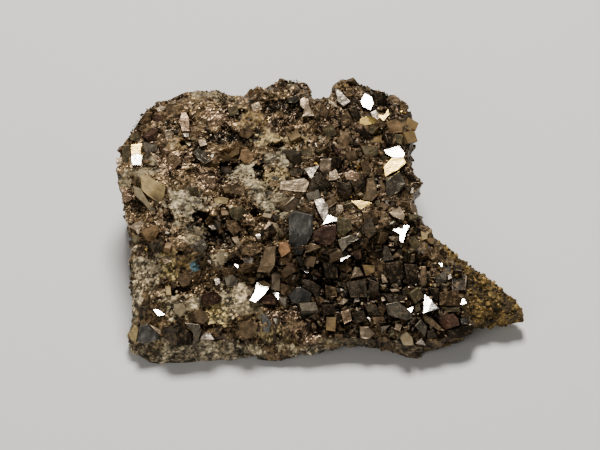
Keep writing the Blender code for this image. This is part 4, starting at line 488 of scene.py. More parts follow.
# Rock finish, in the same way
ROCK_LIGHT = (2.4, 1.6)
ROCK_LEAST_LIGHT = 0.12
ROCK_GRAINS = ((1900.0, 0.4), (900.0, 0.6))
ROCK_HEIGHTS = (0.7, 0.6, 0.4)
ROCK_BUMP = (0.9, 0.0006)
ROCK_ROUGHNESS = 0.85
GRIT_ROUGHENS = 0.2

# Standing crystals: spread of tone from one to the next, how far up from the crust the painted contact shade
# reaches beyond their stand, and patches of tone on each, fainter on bright ones
STANDING_SEED = 5
STANDING_SPREAD = 0.1
STANDING_CONTACT_SHADE = 0.6
PATCHY_TONE = (1.7, 31, 3, 0.8)
PATCHY_BRIGHT = 0.08
PATCHY_OTHERS = 0.32
INNER_SPREAD = 50

# Small crystals: the plan ranges they are sown in, how they shrink and sink at the crust's edge, how many are
# kept there and on stone, how their sizes are spread, and how far up the painted contact shade at their foot
# reaches for their size, where it starts and how wide it blends
CRUST_X = (-55, 50)
ROCK_X = (-55, 55)
SOWN_Y = (-40, 42)
SLOPE_STEP = 0.3
EDGE_SHRINK = 0.06
EDGE_SIZE = 0.7
EDGE_SINK = 0.04
STONE_METALLIC = 0.12
KEPT_ON_STONE = 0.12
GRAINS_ON_STONE = 0.6
KEPT_AT_EDGE = 0.42
SIZE_POWER = 1.6
TOP_OF_SIZE = 0.8
CONTACT_SHADE_OF_SIZE = 0.6
CONTACT_SHADE_START = 0.25
CONTACT_SHADE_BLEND = 0.75

# How many small crystals have a finish of their own: on stone, in holes, in druse, and more where coarse
OWN_ON_STONE = 0.08
OWN_IN_HOLES = 0.12
OWN_IN_DRUSE = 0.4
OWN_WHERE_COARSE = 0.42

# Shapes of the small crystals: knots of the block, sides to the size, how far they face the viewer, skew, how
# uneven their corners are, the spread of their tone, and how often and how deep a corner or an edge is cut
BLOCK_KNOTS = np.array((-1, -0.86, 0.86, 1))
SMALL_SIDES = (0.65, 1.3)
SMALL_FACING = 0.9
FACING_LIFT = 0.4
MOST_SKEW = 1.5
SMALL_UNEVEN = 0.05
SMALL_SPREAD = 0.25
SMALL_CUT = 0.45
CORNER_CUTS = (1.05, 1.5)
EDGE_CUTS = (0.95, 1.3)
NO_CUT = 9.0
INNER_SHIFT = 3.7

# The ground's sheet, whose rows crowd on the ledge, the skirt round it, its noises, its speckle with painted
# highlight on the lumps of those noises and painted shade in their hollows, the painted shade over the coarse
# crust, and its dark holes, which are told by their tone
GROUND_STEPS = 290
LEDGE_PULL = 0.6
LEDGE_PULL_WIDTH = 4.5
SKIRT_DEEP = 4.4
SKIRT_ROWS = 10
SKIRT_INSET = 0.004
SKIRT_LOWEST = 1.0
SKIRT_BOTTOM = 5.0
GROUND_NOISE = ((3.2, 0.75), (1.5, 0.4), (0.75, 0.26), (0.4, 0.14))
GROUND_NOISE_SEED = 41
GROUND_PATCH_SEED = 71
GROUND_SHADE_AND_SPECKLE = {"weights": (0.3, 0.5, 0.55, 0.5), "spread": 0.8, "pit_cell": 1.9, "seed": 98}
COARSE_PAINTED_SHADE = 0.6
HOLE_TONE = 0.12
HOLE_RED = 0.03
HOLE_DEPTH = 1.3

# Grains and pits whose speckle both the ground and the rock get
GRAIN_TONE_CELL = 0.48
PIT_DEPTH = 0.85
PIT_LAYERS = (4, 0.75)
PIT_START = 0.27
PIT_BLEND = 0.25
SPECKLE_RANGE = (0.08, 2.6)

# The rock's sheet, side and foot: rows, how far the side stands out on its way down, the rings in under it,
# its noises, and its speckle with painted highlight on the lumps of those noises and painted shade in their
# hollows
ROCK_STEPS = 190
ROCK_SIDE_ROWS = 26
ROCK_CROWDING = 0.6
SIDE_FALLS = (0, 0.35, 0.7, 1)
SIDE_OUTSETS = (0, 0.1, 0, -0.3)
UNDERCUT_SHARES = (0.25, 0.5, 0.75, 1.0)
FOOT_SHARES = (0.8, 0.6, 0.4, 0.2, 0.05)
ROCK_LOWEST = 0.1
ROCK_NOISE = ((2.6, 0.34), (1.3, 0.22), (0.65, 0.16), (0.36, 0.1), (5.5, 0.5))
ROCK_NOISE_SEED = 91
ROCK_SHADE_AND_SPECKLE = {"weights": (0.25, 0.45, 0.6, 0.6, 0.3), "spread": 0.9, "pit_cell": 1.4, "seed": 100}

# Tones of the rock, where two of them begin (the place, how far it wanders and how wide it blends), how much
# they cover, and the noises that spread them
PLAIN_TONE = np.array((0.17, 0.125, 0.075))
PALE_TONE = np.array((0.36, 0.295, 0.19))
OCHRE_TONE = np.array((0.160, 0.101, 0.028))
DARK_TONE = np.array((0.06, 0.043, 0.026))
OCHRE_TAIL = (26, 5, 7)
PALE_FRONT = (27, 2, 4)
PALE_LEFT = (-4, 4, 8)
PALE_COVER = 0.9
DARK_GAIN = 0.9
VEINS = (0.35, 0, 0.3)
VEIN_LIGHT = 1.2
VEIN_COVER = 0.5
WANDER_NOISE = (9.0, 57)
DARK_NOISE = (6.0, 58)
VEIN_NOISE = (4.0, 59)

# Grains on the bare rock: their spacing on its top, their size, shape and tone, the painted shade on their
# side towards the rock, how many are tried on its side, and how many of those are kept where
ROCK_GRAIN_SEED = 37
ROCK_GRAIN_SPACING = 0.75
ROCK_GRAIN_SIZES = (0.45, 1.5)
ROCK_GRAIN_SIDES = (0.6, 1.3)
ROCK_GRAIN_OVERLAP = 0.99
ROCK_GRAIN_SPREAD = 0.42
ROCK_GRAIN_UNEVEN = 0.1
ROCK_GRAIN_FACING = 0.3
ROCK_GRAIN_CUT = 0.3
ROCK_GRAIN_SHADE = 0.45
ROCK_SIDE_GRAINS = 15000
MOST_SIDE = 1400.0
SMOOTH_SIDE = 0.3
GRITTY_TAIL = (24, 0, 8)
GRITTY_FRONT = (20, 0, 6)

# The floor, the height that the lights are aimed at, and how far the camera sees
FLOOR_HALF = 1500.0
FLOOR_COLOUR = (0.72, 0.72, 0.71, 1)
FLOOR_ROUGHNESS = 0.7
LIGHT_AIM = 0.015
CLIP_END = 10


def blend(first, second, share):
    """From the first value to the second by a share."""
    return first + (second - first) * share


def sight_point(right, up, height):
    """Where the sight line through a place on the display face passes a given height."""
    ray = AIM + right * RIGHT + up * UP - EYE
    return EYE + ray * ((height - EYE[2]) / ray[2])


def seen_at(points):
    """Right and up on the display face at which the viewer sees each point."""
    offset = points - EYE
    scale = EYE_DISTANCE / -(offset @ TOWARDS)
    return offset @ RIGHT * scale, offset @ UP * scale


def value_noise(points, cell, seed):
    """Smooth noise from -1 to 1: random values on a lattice of cubes, blended smoothly along each axis."""
    scaled = np.asarray(points, float) / cell
    base = np.floor(scaled).astype(np.int64)
    part = scaled - base
    part = part * part * (3 - 2 * part)
    total = np.zeros(scaled.shape[:-1])
    for corner in np.ndindex(2, 2, 2):
        mixed = (base + corner) @ HASH_AXES + seed * HASH_SEED
        mixed = (mixed ^ (mixed >> HASH_SHIFTS[0])) * HASH_MIX
        value = ((mixed ^ (mixed >> HASH_SHIFTS[1])) & HASH_TOP) / (HASH_TOP / 2) - 1
        total += np.where(corner, part, 1 - part).prod(axis=-1) * value
    return total


def layered_noise(points, cell, seed, layers=4, gain=0.55):
    """Value noise summed over layers, each half the size of the one before and gain times as strong."""
    total = np.zeros(np.shape(points)[:-1])
    for layer in range(layers):
        total += gain**layer * value_noise(points, cell / 2**layer, seed + layer)
    return total


def smooth(value):
    """A step from 0 to 1 with level ends."""
    value = np.clip(value, 0, 1)
    return value * value * (3 - 2 * value)


def front_rim(x, y):
    """How far a place belongs to the lower front rim on the left: 0 to 1."""
    return smooth((FRONT_DROP_Y - y) / FRONT_DROP_BLEND) * smooth((FRONT_DROP_X - x) / FRONT_DROP_BLEND)


def relief(x, y):
    """Height of the crust before its edges are rounded: a sloping terrace that is higher on the left and
    falls towards the tail, and a thick block behind the ledge, with lumps and hollows as bell shapes."""
    terrace = TERRACE_HEIGHT + TERRACE_RISE * (y - TERRACE_FRONT) - TAIL_FALL * np.maximum(x - TAIL_START, 0)
    leftness = smooth((LEFT_START - x) / LEFT_WIDTH) * smooth((y - TERRACE_FRONT) / LEFT_WIDTH)
    terrace = terrace + LEFT_RISE * leftness
    ledge = np.interp(x, LEDGE_X, LEDGE_Y)
    block = BLOCK_HEIGHT + BLOCK_RISE * (y - ledge)
    height = blend(terrace, block, smooth((y - ledge) / LEDGE_WIDTH + 0.5))
    for lump_x, lump_y, radius, rise in LUMPS:
        height = height + rise * np.exp(-((x - lump_x) ** 2 + (y - lump_y) ** 2) / radius**2)
    return height


def sight_line(right, up):
    """Points along the sight line through a place on the display face, nearest the viewer first."""
    return np.array([sight_point(right, up, height) for height in np.arange(SEARCH_TOP, 0.0, -SEARCH_STEP)])


def on_relief(right, up, lowered):
    """Where the sight line meets the relief lowered by some millimetres."""
    line = sight_line(right, up)
    return line[np.argmax(line[:, 2] <= relief(line[:, 0], line[:, 1]) - lowered)]


def outline_of(places):
    """Places of an edge as sorted bearings about CENTRE with a radius each, and the order of the places."""
    plan = np.array([place[:2] for place in places]) - CENTRE
    bearing = np.arctan2(plan[:, 1], plan[:, 0])
    order = np.argsort(bearing)
    return bearing[order], np.hypot(*plan.T)[order], order


def rock_edge_place(right, up, under, border):
    if border == "under":
        return sight_point(right, up, under)
    return on_relief(right, up, SHOULDER_DROP + CRUST_STEP)


def crust_edge_place(right, up, height=None):
    if height is None:
        return on_relief(right, up, SHOULDER_DROP)
    return sight_point(right, up, height)


ROCK_OUTLINE = outline_of([rock_edge_place(*row) for row in ROCK_EDGE])
CRUST_OUTLINE = outline_of([crust_edge_place(*row) for row in CRUST_EDGE])
UNDERSIDES = np.array([row[2] for row in ROCK_EDGE])[ROCK_OUTLINE[2]]


def reach(outline, bearing):
    """The outline's radius at a bearing, straight between its points."""
    return np.interp(bearing, outline[0], outline[1], period=2 * math.pi)


def underside(bearing):
    """Height of the rock's underside at its edge."""
    return np.interp(bearing, ROCK_OUTLINE[0], UNDERSIDES, period=2 * math.pi)


def side_radius(bearing, fall):
    """The rock's radius at a bearing by the share of the way down its side."""
    return reach(ROCK_OUTLINE, bearing) + np.interp(fall, SIDE_FALLS, SIDE_OUTSETS)


def share_out(outline, x, y):
    """How far out a plan place lies: 0 at CENTRE, 1 on the outline."""
    dx, dy = x - CENTRE[0], y - CENTRE[1]
    return np.hypot(dx, dy) / reach(outline, np.arctan2(dy, dx))


def ground(x, y):
    """Height of the crust between its crystals: the relief with a rounded shoulder at the slab's edge."""
    edge = smooth((1 - share_out(ROCK_OUTLINE, x, y)) / SHOULDER_WIDTH)
    return relief(x, y) - (SHOULDER_DROP + FRONT_DROP * front_rim(x, y)) * (1 - edge)


def rock_top(x, y):
    """Height of the bare rock: a step below the crust's level outside the crust, and its full thickness below
    it inside."""
    covered = smooth((1 - share_out(CRUST_OUTLINE, x, y)) / CRUST_EDGE_BLEND)
    return ground(x, y) - CRUST_STEP - (CRUST_THICKNESS - CRUST_STEP) * covered


def on_crust(right, up):
    """The nearest point of the crust on the sight line through a place on the display face."""
    line = sight_line(right, up)
    return line[np.argmax(line[:, 2] <= ground(line[:, 0], line[:, 1]))]


def ground_normal(x, y):
    """The upward normal of the ground at each plan place."""
    slope_x = (ground(x + SLOPE_STEP, y) - ground(x - SLOPE_STEP, y)) / (2 * SLOPE_STEP)
    slope_y = (ground(x, y + SLOPE_STEP) - ground(x, y - SLOPE_STEP)) / (2 * SLOPE_STEP)
    normal = np.stack([-slope_x, -slope_y, np.ones(len(x))], axis=1)
    return normal / np.linalg.norm(normal, axis=1, keepdims=True)


def plan_place(radius, bearing):
    return CENTRE[0] + radius * np.cos(bearing), CENTRE[1] + radius * np.sin(bearing)


def ring_points(radius, bearing, height):
    return np.stack([*plan_place(radius, bearing), height], axis=-1)


def level_outward(points):
    """The level direction away from CENTRE at each point."""
    outward = points - (*CENTRE, 0)
    outward[:, 2] = 0
    return outward / np.linalg.norm(outward, axis=1, keepdims=True)


def disc_grid(steps):
    """A square grid laid on the unit disc, so that squares round the middle become rings. Returns the share
    out and the bearing of each point, in rows."""
    side = np.linspace(-1, 1, steps + 1)
    across, along = np.meshgrid(side, side)
    share = np.maximum(abs(across), abs(along))
    wide = abs(across) >= abs(along)
    divisor = np.where(share == 0, 1, np.where(wide, across, along))
    turn = np.where(wide, along, -across) / divisor * math.pi / 4
    bearing = turn + np.where(wide, 0, math.pi / 2) + np.where(divisor < 0, math.pi, 0)
    return share, bearing


def roughened(points, amounts, seed):
    """The points, each moved along each axis by a coarse and a fine noise."""
    moved = np.array(points)
    for size, (cell, amount) in enumerate(zip(ROUGH_CELLS, amounts)):
        for axis in range(3):
            moved[:, axis] += amount * value_noise(points, cell, seed + axis + 10 * size)
    return moved


def finish_values(numbers):
    """Colour, and roughness, metallic and stain as a vector, for each finish's number."""
    colours = np.array([row[0] for row in FINISHES.values()])
    others = np.array([row[1:] for row in FINISHES.values()])
    return colours[numbers], others[numbers]


def patch_finish(points, seed):
    """Colour and other values of the ground at each point: druse, which gives way to a patch's finish inside
    an ellipse that noise frays. The places wander, so that no ellipse shows."""
    right, up = seen_at(points)
    for cell, amount in PATCH_WANDER:
        right = right + amount * value_noise(points, cell, seed + 1)
        up = up + amount * value_noise(points, cell, seed + 2)
    colour, other = finish_values(np.full(len(points), FINISH_NAMES.index("druse")))
    edge_noise = layered_noise(points, PATCH_EDGE_CELL, seed, gain=PATCH_EDGE_GAIN)
    for patch_right, patch_up, half_width, half_height, finish in PATCHES:
        away = np.hypot((right - patch_right) / half_width, (up - patch_up) / half_height)
        share = smooth((PATCH_REACH - away + PATCH_FRAY * edge_noise) / PATCH_SOFTNESS)[:, None]
        patch_colour, patch_other = finish_values([FINISH_NAMES.index(finish)])
        colour = blend(colour, patch_colour, share)
        other = blend(other, patch_other, share)
    return colour, other


def new_piece(name, points, faces, finish, colour=None, other=None, inner=None):
    """A piece from points in the tables' millimetres and faces as rows of corners, with its colour, its other
    finish values and its inner coordinates as attributes of the points."""
    mesh = bpy.data.meshes.new(name)
    placed = (np.asarray(points) - ORIGIN) * MM
    corners = np.asarray(faces, np.int32)
    mesh.vertices.add(len(placed))
    mesh.vertices.foreach_set("co", placed.astype(np.float32).ravel())
    mesh.loops.add(corners.size)
    mesh.loops.foreach_set("vertex_index", corners.ravel())
    mesh.polygons.add(len(corners))
    mesh.polygons.foreach_set("loop_start", np.arange(len(corners), dtype=np.int32) * corners.shape[1])
    mesh.update(calc_edges=True)
    mesh.validate()
    mesh.shade_flat()
    mesh.materials.append(finish)
    tone = None if colour is None else np.column_stack([colour, np.ones(len(colour))])
    layers = (("tone", "COLOR", tone), ("surface", "VECTOR", other), ("inner", "VECTOR", inner))
    for key, kind, values in layers:
        if values is not None:
            layer = mesh.attributes.new(key, "FLOAT_" + kind, "POINT")
            layer.data.foreach_set(kind.lower(), np.asarray(values, np.float32).ravel())
    made = bpy.data.objects.new(name, mesh)
    bpy.context.scene.collection.objects.link(made)
    return made


def grid_faces(index):
    """Rows of four corners for a grid of point numbers."""
    corners = [index[:-1, :-1], index[:-1, 1:], index[1:, 1:], index[1:, :-1]]
    return np.stack(corners, axis=-1).reshape(-1, 4)


class Value:
    """A shader socket that takes part in sums."""

    def __init__(self, maker, socket):
        self.maker = maker
        self.socket = socket

    def math(self, operation, other):
        return self.maker.math(operation, self, other)

    def __add__(self, other):
        return self.math("ADD", other)

    __radd__ = __add__

    def __sub__(self, other):
        return self.math("SUBTRACT", other)

    def __rsub__(self, other):
        return self.maker.math("SUBTRACT", other, self)

    def __mul__(self, other):
        return self.math("MULTIPLY", other)

    def between(self, low, high):
        """0 at low, 1 at high, with level ends."""
        inputs = {"Value": self, "From Min": low, "From Max": high}
        return self.maker.node("ShaderNodeMapRange", {"interpolation_type": "SMOOTHSTEP"}, inputs)


class Finish:
    """A material under way."""

    def __init__(self, name):
        self.material = bpy.data.materials.new(name)
        self.material.use_nodes = True
        self.tree = self.material.node_tree
        self.shader = self.tree.nodes["Principled BSDF"]

    def node(self, kind, settings=None, inputs=None, output=0):
        """A new node's output: its settings are set first, then its sockets get values or links."""
        made = self.tree.nodes.new(kind)
        for key, value in (settings or {}).items():
            setattr(made, key, value)
        for key, value in (inputs or {}).items():
            self.put(made.inputs[key], value)
        return Value(self, made.outputs[output])

    def put(self, socket, value):
        if isinstance(value, Value):
            self.tree.links.new(value.socket, socket)
        else:
            socket.default_value = value

    def math(self, operation, first, second):
        return self.node("ShaderNodeMath", {"operation": operation}, {0: first, 1: second})

    def mix(self, share, first, second, blend_type="MIX"):
        """First and second colours mixed by a share."""
        settings = {"data_type": "RGBA", "blend_type": blend_type, "clamp_factor": True}
        return self.node("ShaderNodeMix", settings, {0: share, 6: first, 7: second}, output=2)

    def place(self):
        return self.node("ShaderNodeTexCoord", output="Object")

    def attribute(self, name, output="Vector"):
        return self.node("ShaderNodeAttribute", {"attribute_name": name}, output=output)

    def noise(self, place, scale, detail, roughness):
        inputs = {"Vector": place, "Scale": scale, "Detail": detail, "Roughness": roughness}
        return self.node("ShaderNodeTexNoise", inputs=inputs)

    def parts(self, vector):
        return [self.node("ShaderNodeSeparateXYZ", inputs={0: vector}, output=axis) for axis in range(3)]

    def grains(self, place, scale, least):
        """A random lightness from least upwards for each grain, 1 on average."""
        inputs = {"Vector": place, "Scale": scale}
        picked = self.node("ShaderNodeTexVoronoi", inputs=inputs, output="Color")
        part = self.node("ShaderNodeSeparateXYZ", inputs={0: picked})
        return part * (2.0 - 2.0 * least) + least

    def shaded_tone(self, light):
        """The tone of each point, made lighter or darker."""
        shade = self.node("ShaderNodeCombineXYZ", inputs={0: light, 1: light, 2: light})
        return self.mix(1.0, self.attribute("tone", "Color"), shade, "MULTIPLY")

    def bump(self, strength, distance, height):
        inputs = {"Strength": strength, "Distance": distance, "Height": height}
        return self.node("ShaderNodeBump", inputs=inputs)

    def wear(self, **inputs):
        """Puts values or links on the shader's sockets, with _ for each space in a name."""
        for key, value in inputs.items():
            self.put(self.shader.inputs[key.replace("_", " ")], value)
        return self.material


def weighed(values, weights):
    """The sum of some values, each times its weight."""
    first, *others = [value * weight for value, weight in zip(values, weights)]
    for other in others:
        first = first + other
    return first


def crystal_finish(name, inner=True):
    """Tarnished sulfide faces: the crystal's tone, mottled, with fine growth lines and patches of dull iron
    stain. Growth lines follow each crystal's inner coordinates, or else the place."""
    finish = Finish(name)
    place = finish.place()
    roughness, metallic, stain = finish.parts(finish.attribute("surface"))
    mottle = finish.noise(place, *MOTTLE)
    speckles = finish.noise(place, *SPECKLE)
    stained = (finish.noise(place, *STAINS) + stain * STAIN_PULL).between(*STAIN_EDGES)
    stained = stained * (stain * STAIN_GAIN).math("MINIMUM", 1.0)
    light = weighed((mottle, speckles), CRYSTAL_LIGHT) + CRYSTAL_LEAST_LIGHT
    if not inner:
        light = light * finish.grains(place, *DRUSE_GRAINS)
    rust = finish.mix(mottle, *STAIN_TONES)
    base = finish.mix(stained * STAIN_COVER, finish.shaded_tone(light), rust)
    lines_place = finish.attribute("inner") if inner else place
    stretched = finish.node("ShaderNodeMapping", inputs={"Vector": lines_place, "Scale": LINE_STRETCH})
    lines = finish.noise(stretched, *(CRYSTAL_LINES if inner else GRAIN_LINES))
    height = weighed((lines, speckles, finish.noise(place, *SHEEN)), CRYSTAL_HEIGHTS)
    rough = roughness + (speckles - 0.5) * SPECKLE_ROUGHENS + stained * STAIN_ROUGHENS
    metal = metallic * (1.0 - stained * STAIN_DULLS)
    return finish.wear(
        Base_Color=base, Roughness=rough, Metallic=metal, Normal=finish.bump(*CRYSTAL_BUMP, height)
    )


def rock_finish(name):
    """Broken host rock: the tone of each place with grit of two sizes and a rough, open surface."""
    finish = Finish(name)
    place = finish.place()
    grit = finish.noise(place, *GRIT)
    blotch = finish.noise(place, *BLOTCHES)
    light = (weighed((grit - 0.5, blotch - 0.5), ROCK_LIGHT) + 1.0).math("MAXIMUM", ROCK_LEAST_LIGHT)
    for scale, least in ROCK_GRAINS:
        light = light * finish.grains(place, scale, least)
    height = weighed((grit, blotch, finish.noise(place, *FINE_GRIT)), ROCK_HEIGHTS)
    rough = ROCK_ROUGHNESS + (grit - 0.5) * GRIT_ROUGHENS
    return finish.wear(
        Base_Color=finish.shaded_tone(light), Roughness=rough, Normal=finish.bump(*ROCK_BUMP, height)
    )


def floor_finish():
    return Finish("pale_floor").wear(Base_Color=FLOOR_COLOUR, Roughness=FLOOR_ROUGHNESS)


def block_grid(knots):
    """A block from -1 to 1 with a grid on each face. Points on edges and corners are shared and pulled in a
    little, so that the edges are rounded. Returns points and faces."""
    s, t = np.meshgrid(knots, knots, indexing="ij")
    sides = []
    for axis in range(3):
        for end in (-1, 1):
            coordinates = [None, None, None]
            coordinates[axis] = np.full_like(s, end)
            coordinates[(axis + 1) % 3], coordinates[(axis + 2) % 3] = (s, t) if end > 0 else (t, s)
            sides.append(np.stack(coordinates, axis=-1))
    loose = np.concatenate([side.reshape(-1, 3) for side in sides])
    index = np.arange(len(loose)).reshape(6, len(knots), len(knots))
    faces = np.concatenate([grid_faces(side)[:, ::-1] for side in index])
    shared, number = np.unique(np.round(loose, 6), axis=0, return_inverse=True)
    at_end = abs(shared) > 0.999
    outward = np.where(at_end, np.sign(shared), 0)
    pull = np.array(BEVEL_PULL)[at_end.sum(axis=1) - 1]
    shared = shared - outward * pull[:, None]
    return shared, faced_out(shared, number.reshape(-1)[faces])


def wedge_block():
    """A rhombic prism from -1 to 1 along its third axis that ends in a roof: a short ridge along the first
    axis, with two triangles that fall from it to the sides and two that fall to each end. Returns points and
    faces."""
    ring = np.array([(1, 0), (0, 1), (-1, 0), (0, -1)])
    base = np.column_stack([ring, np.full(4, -1)])
    shoulder = np.column_stack([ring, SHOULDERS])
    points = np.concatenate([base, shoulder, [(RIDGE_HALF, 0, 1), (-RIDGE_HALF, 0, 1)]])
    sides = [(k, (k + 1) % 4, 4 + (k + 1) % 4) for k in range(4)]
    sides += [(k, 4 + (k + 1) % 4, 4 + k) for k in range(4)]
    roof = [(8, 9, 5), (9, 8, 7), (8, 5, 4), (8, 4, 7), (9, 6, 5), (9, 7, 6)]
    return points, faced_out(points, np.array(sides + roof + [(0, 1, 2), (0, 2, 3)]))


def faced_out(points, faces):
    """The faces of a body round the origin, each in the order that makes it face away from the origin."""
    corner = points[faces]
    normal = np.cross(corner[:, 1] - corner[:, 0], corner[:, 2] - corner[:, 0])
    inward = (normal * corner.mean(axis=1)).sum(axis=1) < 0
    faces = faces.copy()
    faces[inward] = faces[inward, ::-1]
    return faces


def random_axes(draw, count, upright):
    """Random directions of crystals as arrays of three axes: a random facing, pulled towards the viewer's
    side."""
    facing = draw.normal(size=(count, 3)) + upright * (TOWARDS + UP * FACING_LIFT)
    facing /= np.linalg.norm(facing, axis=1, keepdims=True)
    other = draw.normal(size=(count, 3))
    across = other - facing * (other * facing).sum(axis=1)[:, None]
    across /= np.linalg.norm(across, axis=1, keepdims=True)
    return np.stack([across, np.cross(facing, across), facing], axis=1)


def cut_planes(draw, count, share):
    """Up to three cutting planes for each block, through corners or along edges of its outer side, as
    directions and distances. A block that isn't cut gets a plane out of reach."""
    corners = [(1, 1, 1), (1, -1, 1), (-1, 1, 1), (-1, -1, 1)]
    kinds = np.array(corners + [(1, 0, 1), (-1, 0, 1), (0, 1, 1), (0, -1, 1)])
    picked = draw.integers(0, len(kinds), size=(count, 3))
    direction = kinds[picked] / np.linalg.norm(kinds, axis=1)[picked][..., None]
    at_corner, at_edge = [draw.uniform(*cuts, (count, 3)) for cuts in (CORNER_CUTS, EDGE_CUTS)]
    distance = np.where(picked < len(corners), at_corner, at_edge)
    return direction, np.where(draw.random((count, 3)) < share, distance, NO_CUT)


def crystal_points(template, centres, axes, halves, skew, planes):
    """Points of every block: the template cut by its planes, scaled to its half sizes, skewed, turned to its
    axes and moved to its centre. Returns the points, and each point's place inside its crystal in
    millimetres."""
    points = template
    direction, distance = planes
    for number in range(direction.shape[1]):
        normal = direction[:, None, number]
        beyond = np.maximum((points * normal).sum(axis=-1) - distance[:, number, None], 0)
        points = points - beyond[..., None] * normal
    local = points * halves[:, None]
    inner = local + centres[:, None] * INNER_SHIFT
    local[..., 0] += local[..., 1] * skew[:, None]
    placed = np.einsum("nvk,nkc->nvc", local, axes) + centres[:, None]
    return placed.reshape(-1, 3), inner.reshape(-1, 3)


def repeated_faces(faces, points_each, count):
    """The template's faces for every copy."""
    return (faces[None] + np.arange(count)[:, None, None] * points_each).reshape(-1, faces.shape[1])


def varied(draw, colour, spread):
    """Each crystal's colour, lighter or darker at random."""
    return colour * np.exp(draw.normal(0, spread, (len(colour), 1)))


def resampled(corners, count):
    """Points round a closed outline, with every corner among them: each side is divided evenly."""
    marks = np.round(np.linspace(0, count, len(corners) + 1))
    place = np.interp(np.arange(count), marks, np.arange(len(corners) + 1))
    whole = place.astype(int)
    following = corners[(whole + 1) % len(corners)]
    return blend(corners[whole], following, (place - whole)[:, None])


def face_outlines():
    """Every crystal face's outline on the display face as AROUND points, counterclockwise, and the middle of
    its corners."""
    outlines, middles = [], []
    for _, *numbers in CRYSTAL_FACES:
        corners = np.array(numbers, float).reshape(-1, 2)
        x, y = corners.T
        if (x * np.roll(y, -1) - np.roll(x, -1) * y).sum() < 0:
            corners = corners[::-1]
        outlines.append(resampled(corners, AROUND))
        middles.append(corners.mean(axis=0))
    return np.array(outlines), np.array(middles)


OUTLINES, MIDDLES = face_outlines()
SPANS = np.ptp(OUTLINES, axis=1)


def facings():
    """The direction that each crystal face looks in: TOWARDS, leaned as its kind asks."""
    low, high, most = np.array([LEANS.get(row[0], OTHER_LEAN) for row in CRYSTAL_FACES]).T
    up_share, side_share = np.outer(LEAN_STEPS, np.arange(len(CRYSTAL_FACES))) % 1
    rise = np.sin(np.radians(blend(low, high, up_share)))
    side = np.sin(np.radians(most * (2 * side_share - 1)))
    rest = np.sqrt(1 - rise**2 - side**2)
    return side[:, None] * RIGHT + rise[:, None] * UP + rest[:, None] * TOWARDS


def painted_contact_shade(points, sizes):
    """Painted contact shade: the share of a crystal's colour that is left, less where it meets the crust."""
    above = points[:, 2] - ground(points[:, 0], points[:, 1])
    return blend(CONTACT_SHADE_LEAST, 1, smooth((above / sizes + CONTACT_SHADE_START) / CONTACT_SHADE_BLEND))


def tube_faces(rows, around):
    """Triangles of a tube of point rows with a fan from a first point and one to a last point."""
    index = 1 + np.arange(rows * around).reshape(rows, around)
    index = np.concatenate([index, index[:, :1]], axis=1)
    quads = grid_faces(index)[:, ::-1]
    halves = np.concatenate([quads[:, [0, 1, 2]], quads[:, [0, 2, 3]]])
    first = np.zeros(around, int)
    front_fan = np.stack([first, index[0, :-1], index[0, 1:]], axis=-1)
    back_fan = np.stack([first + rows * around + 1, index[-1, 1:], index[-1, :-1]], axis=-1)
    return np.concatenate([halves, front_fan, back_fan])


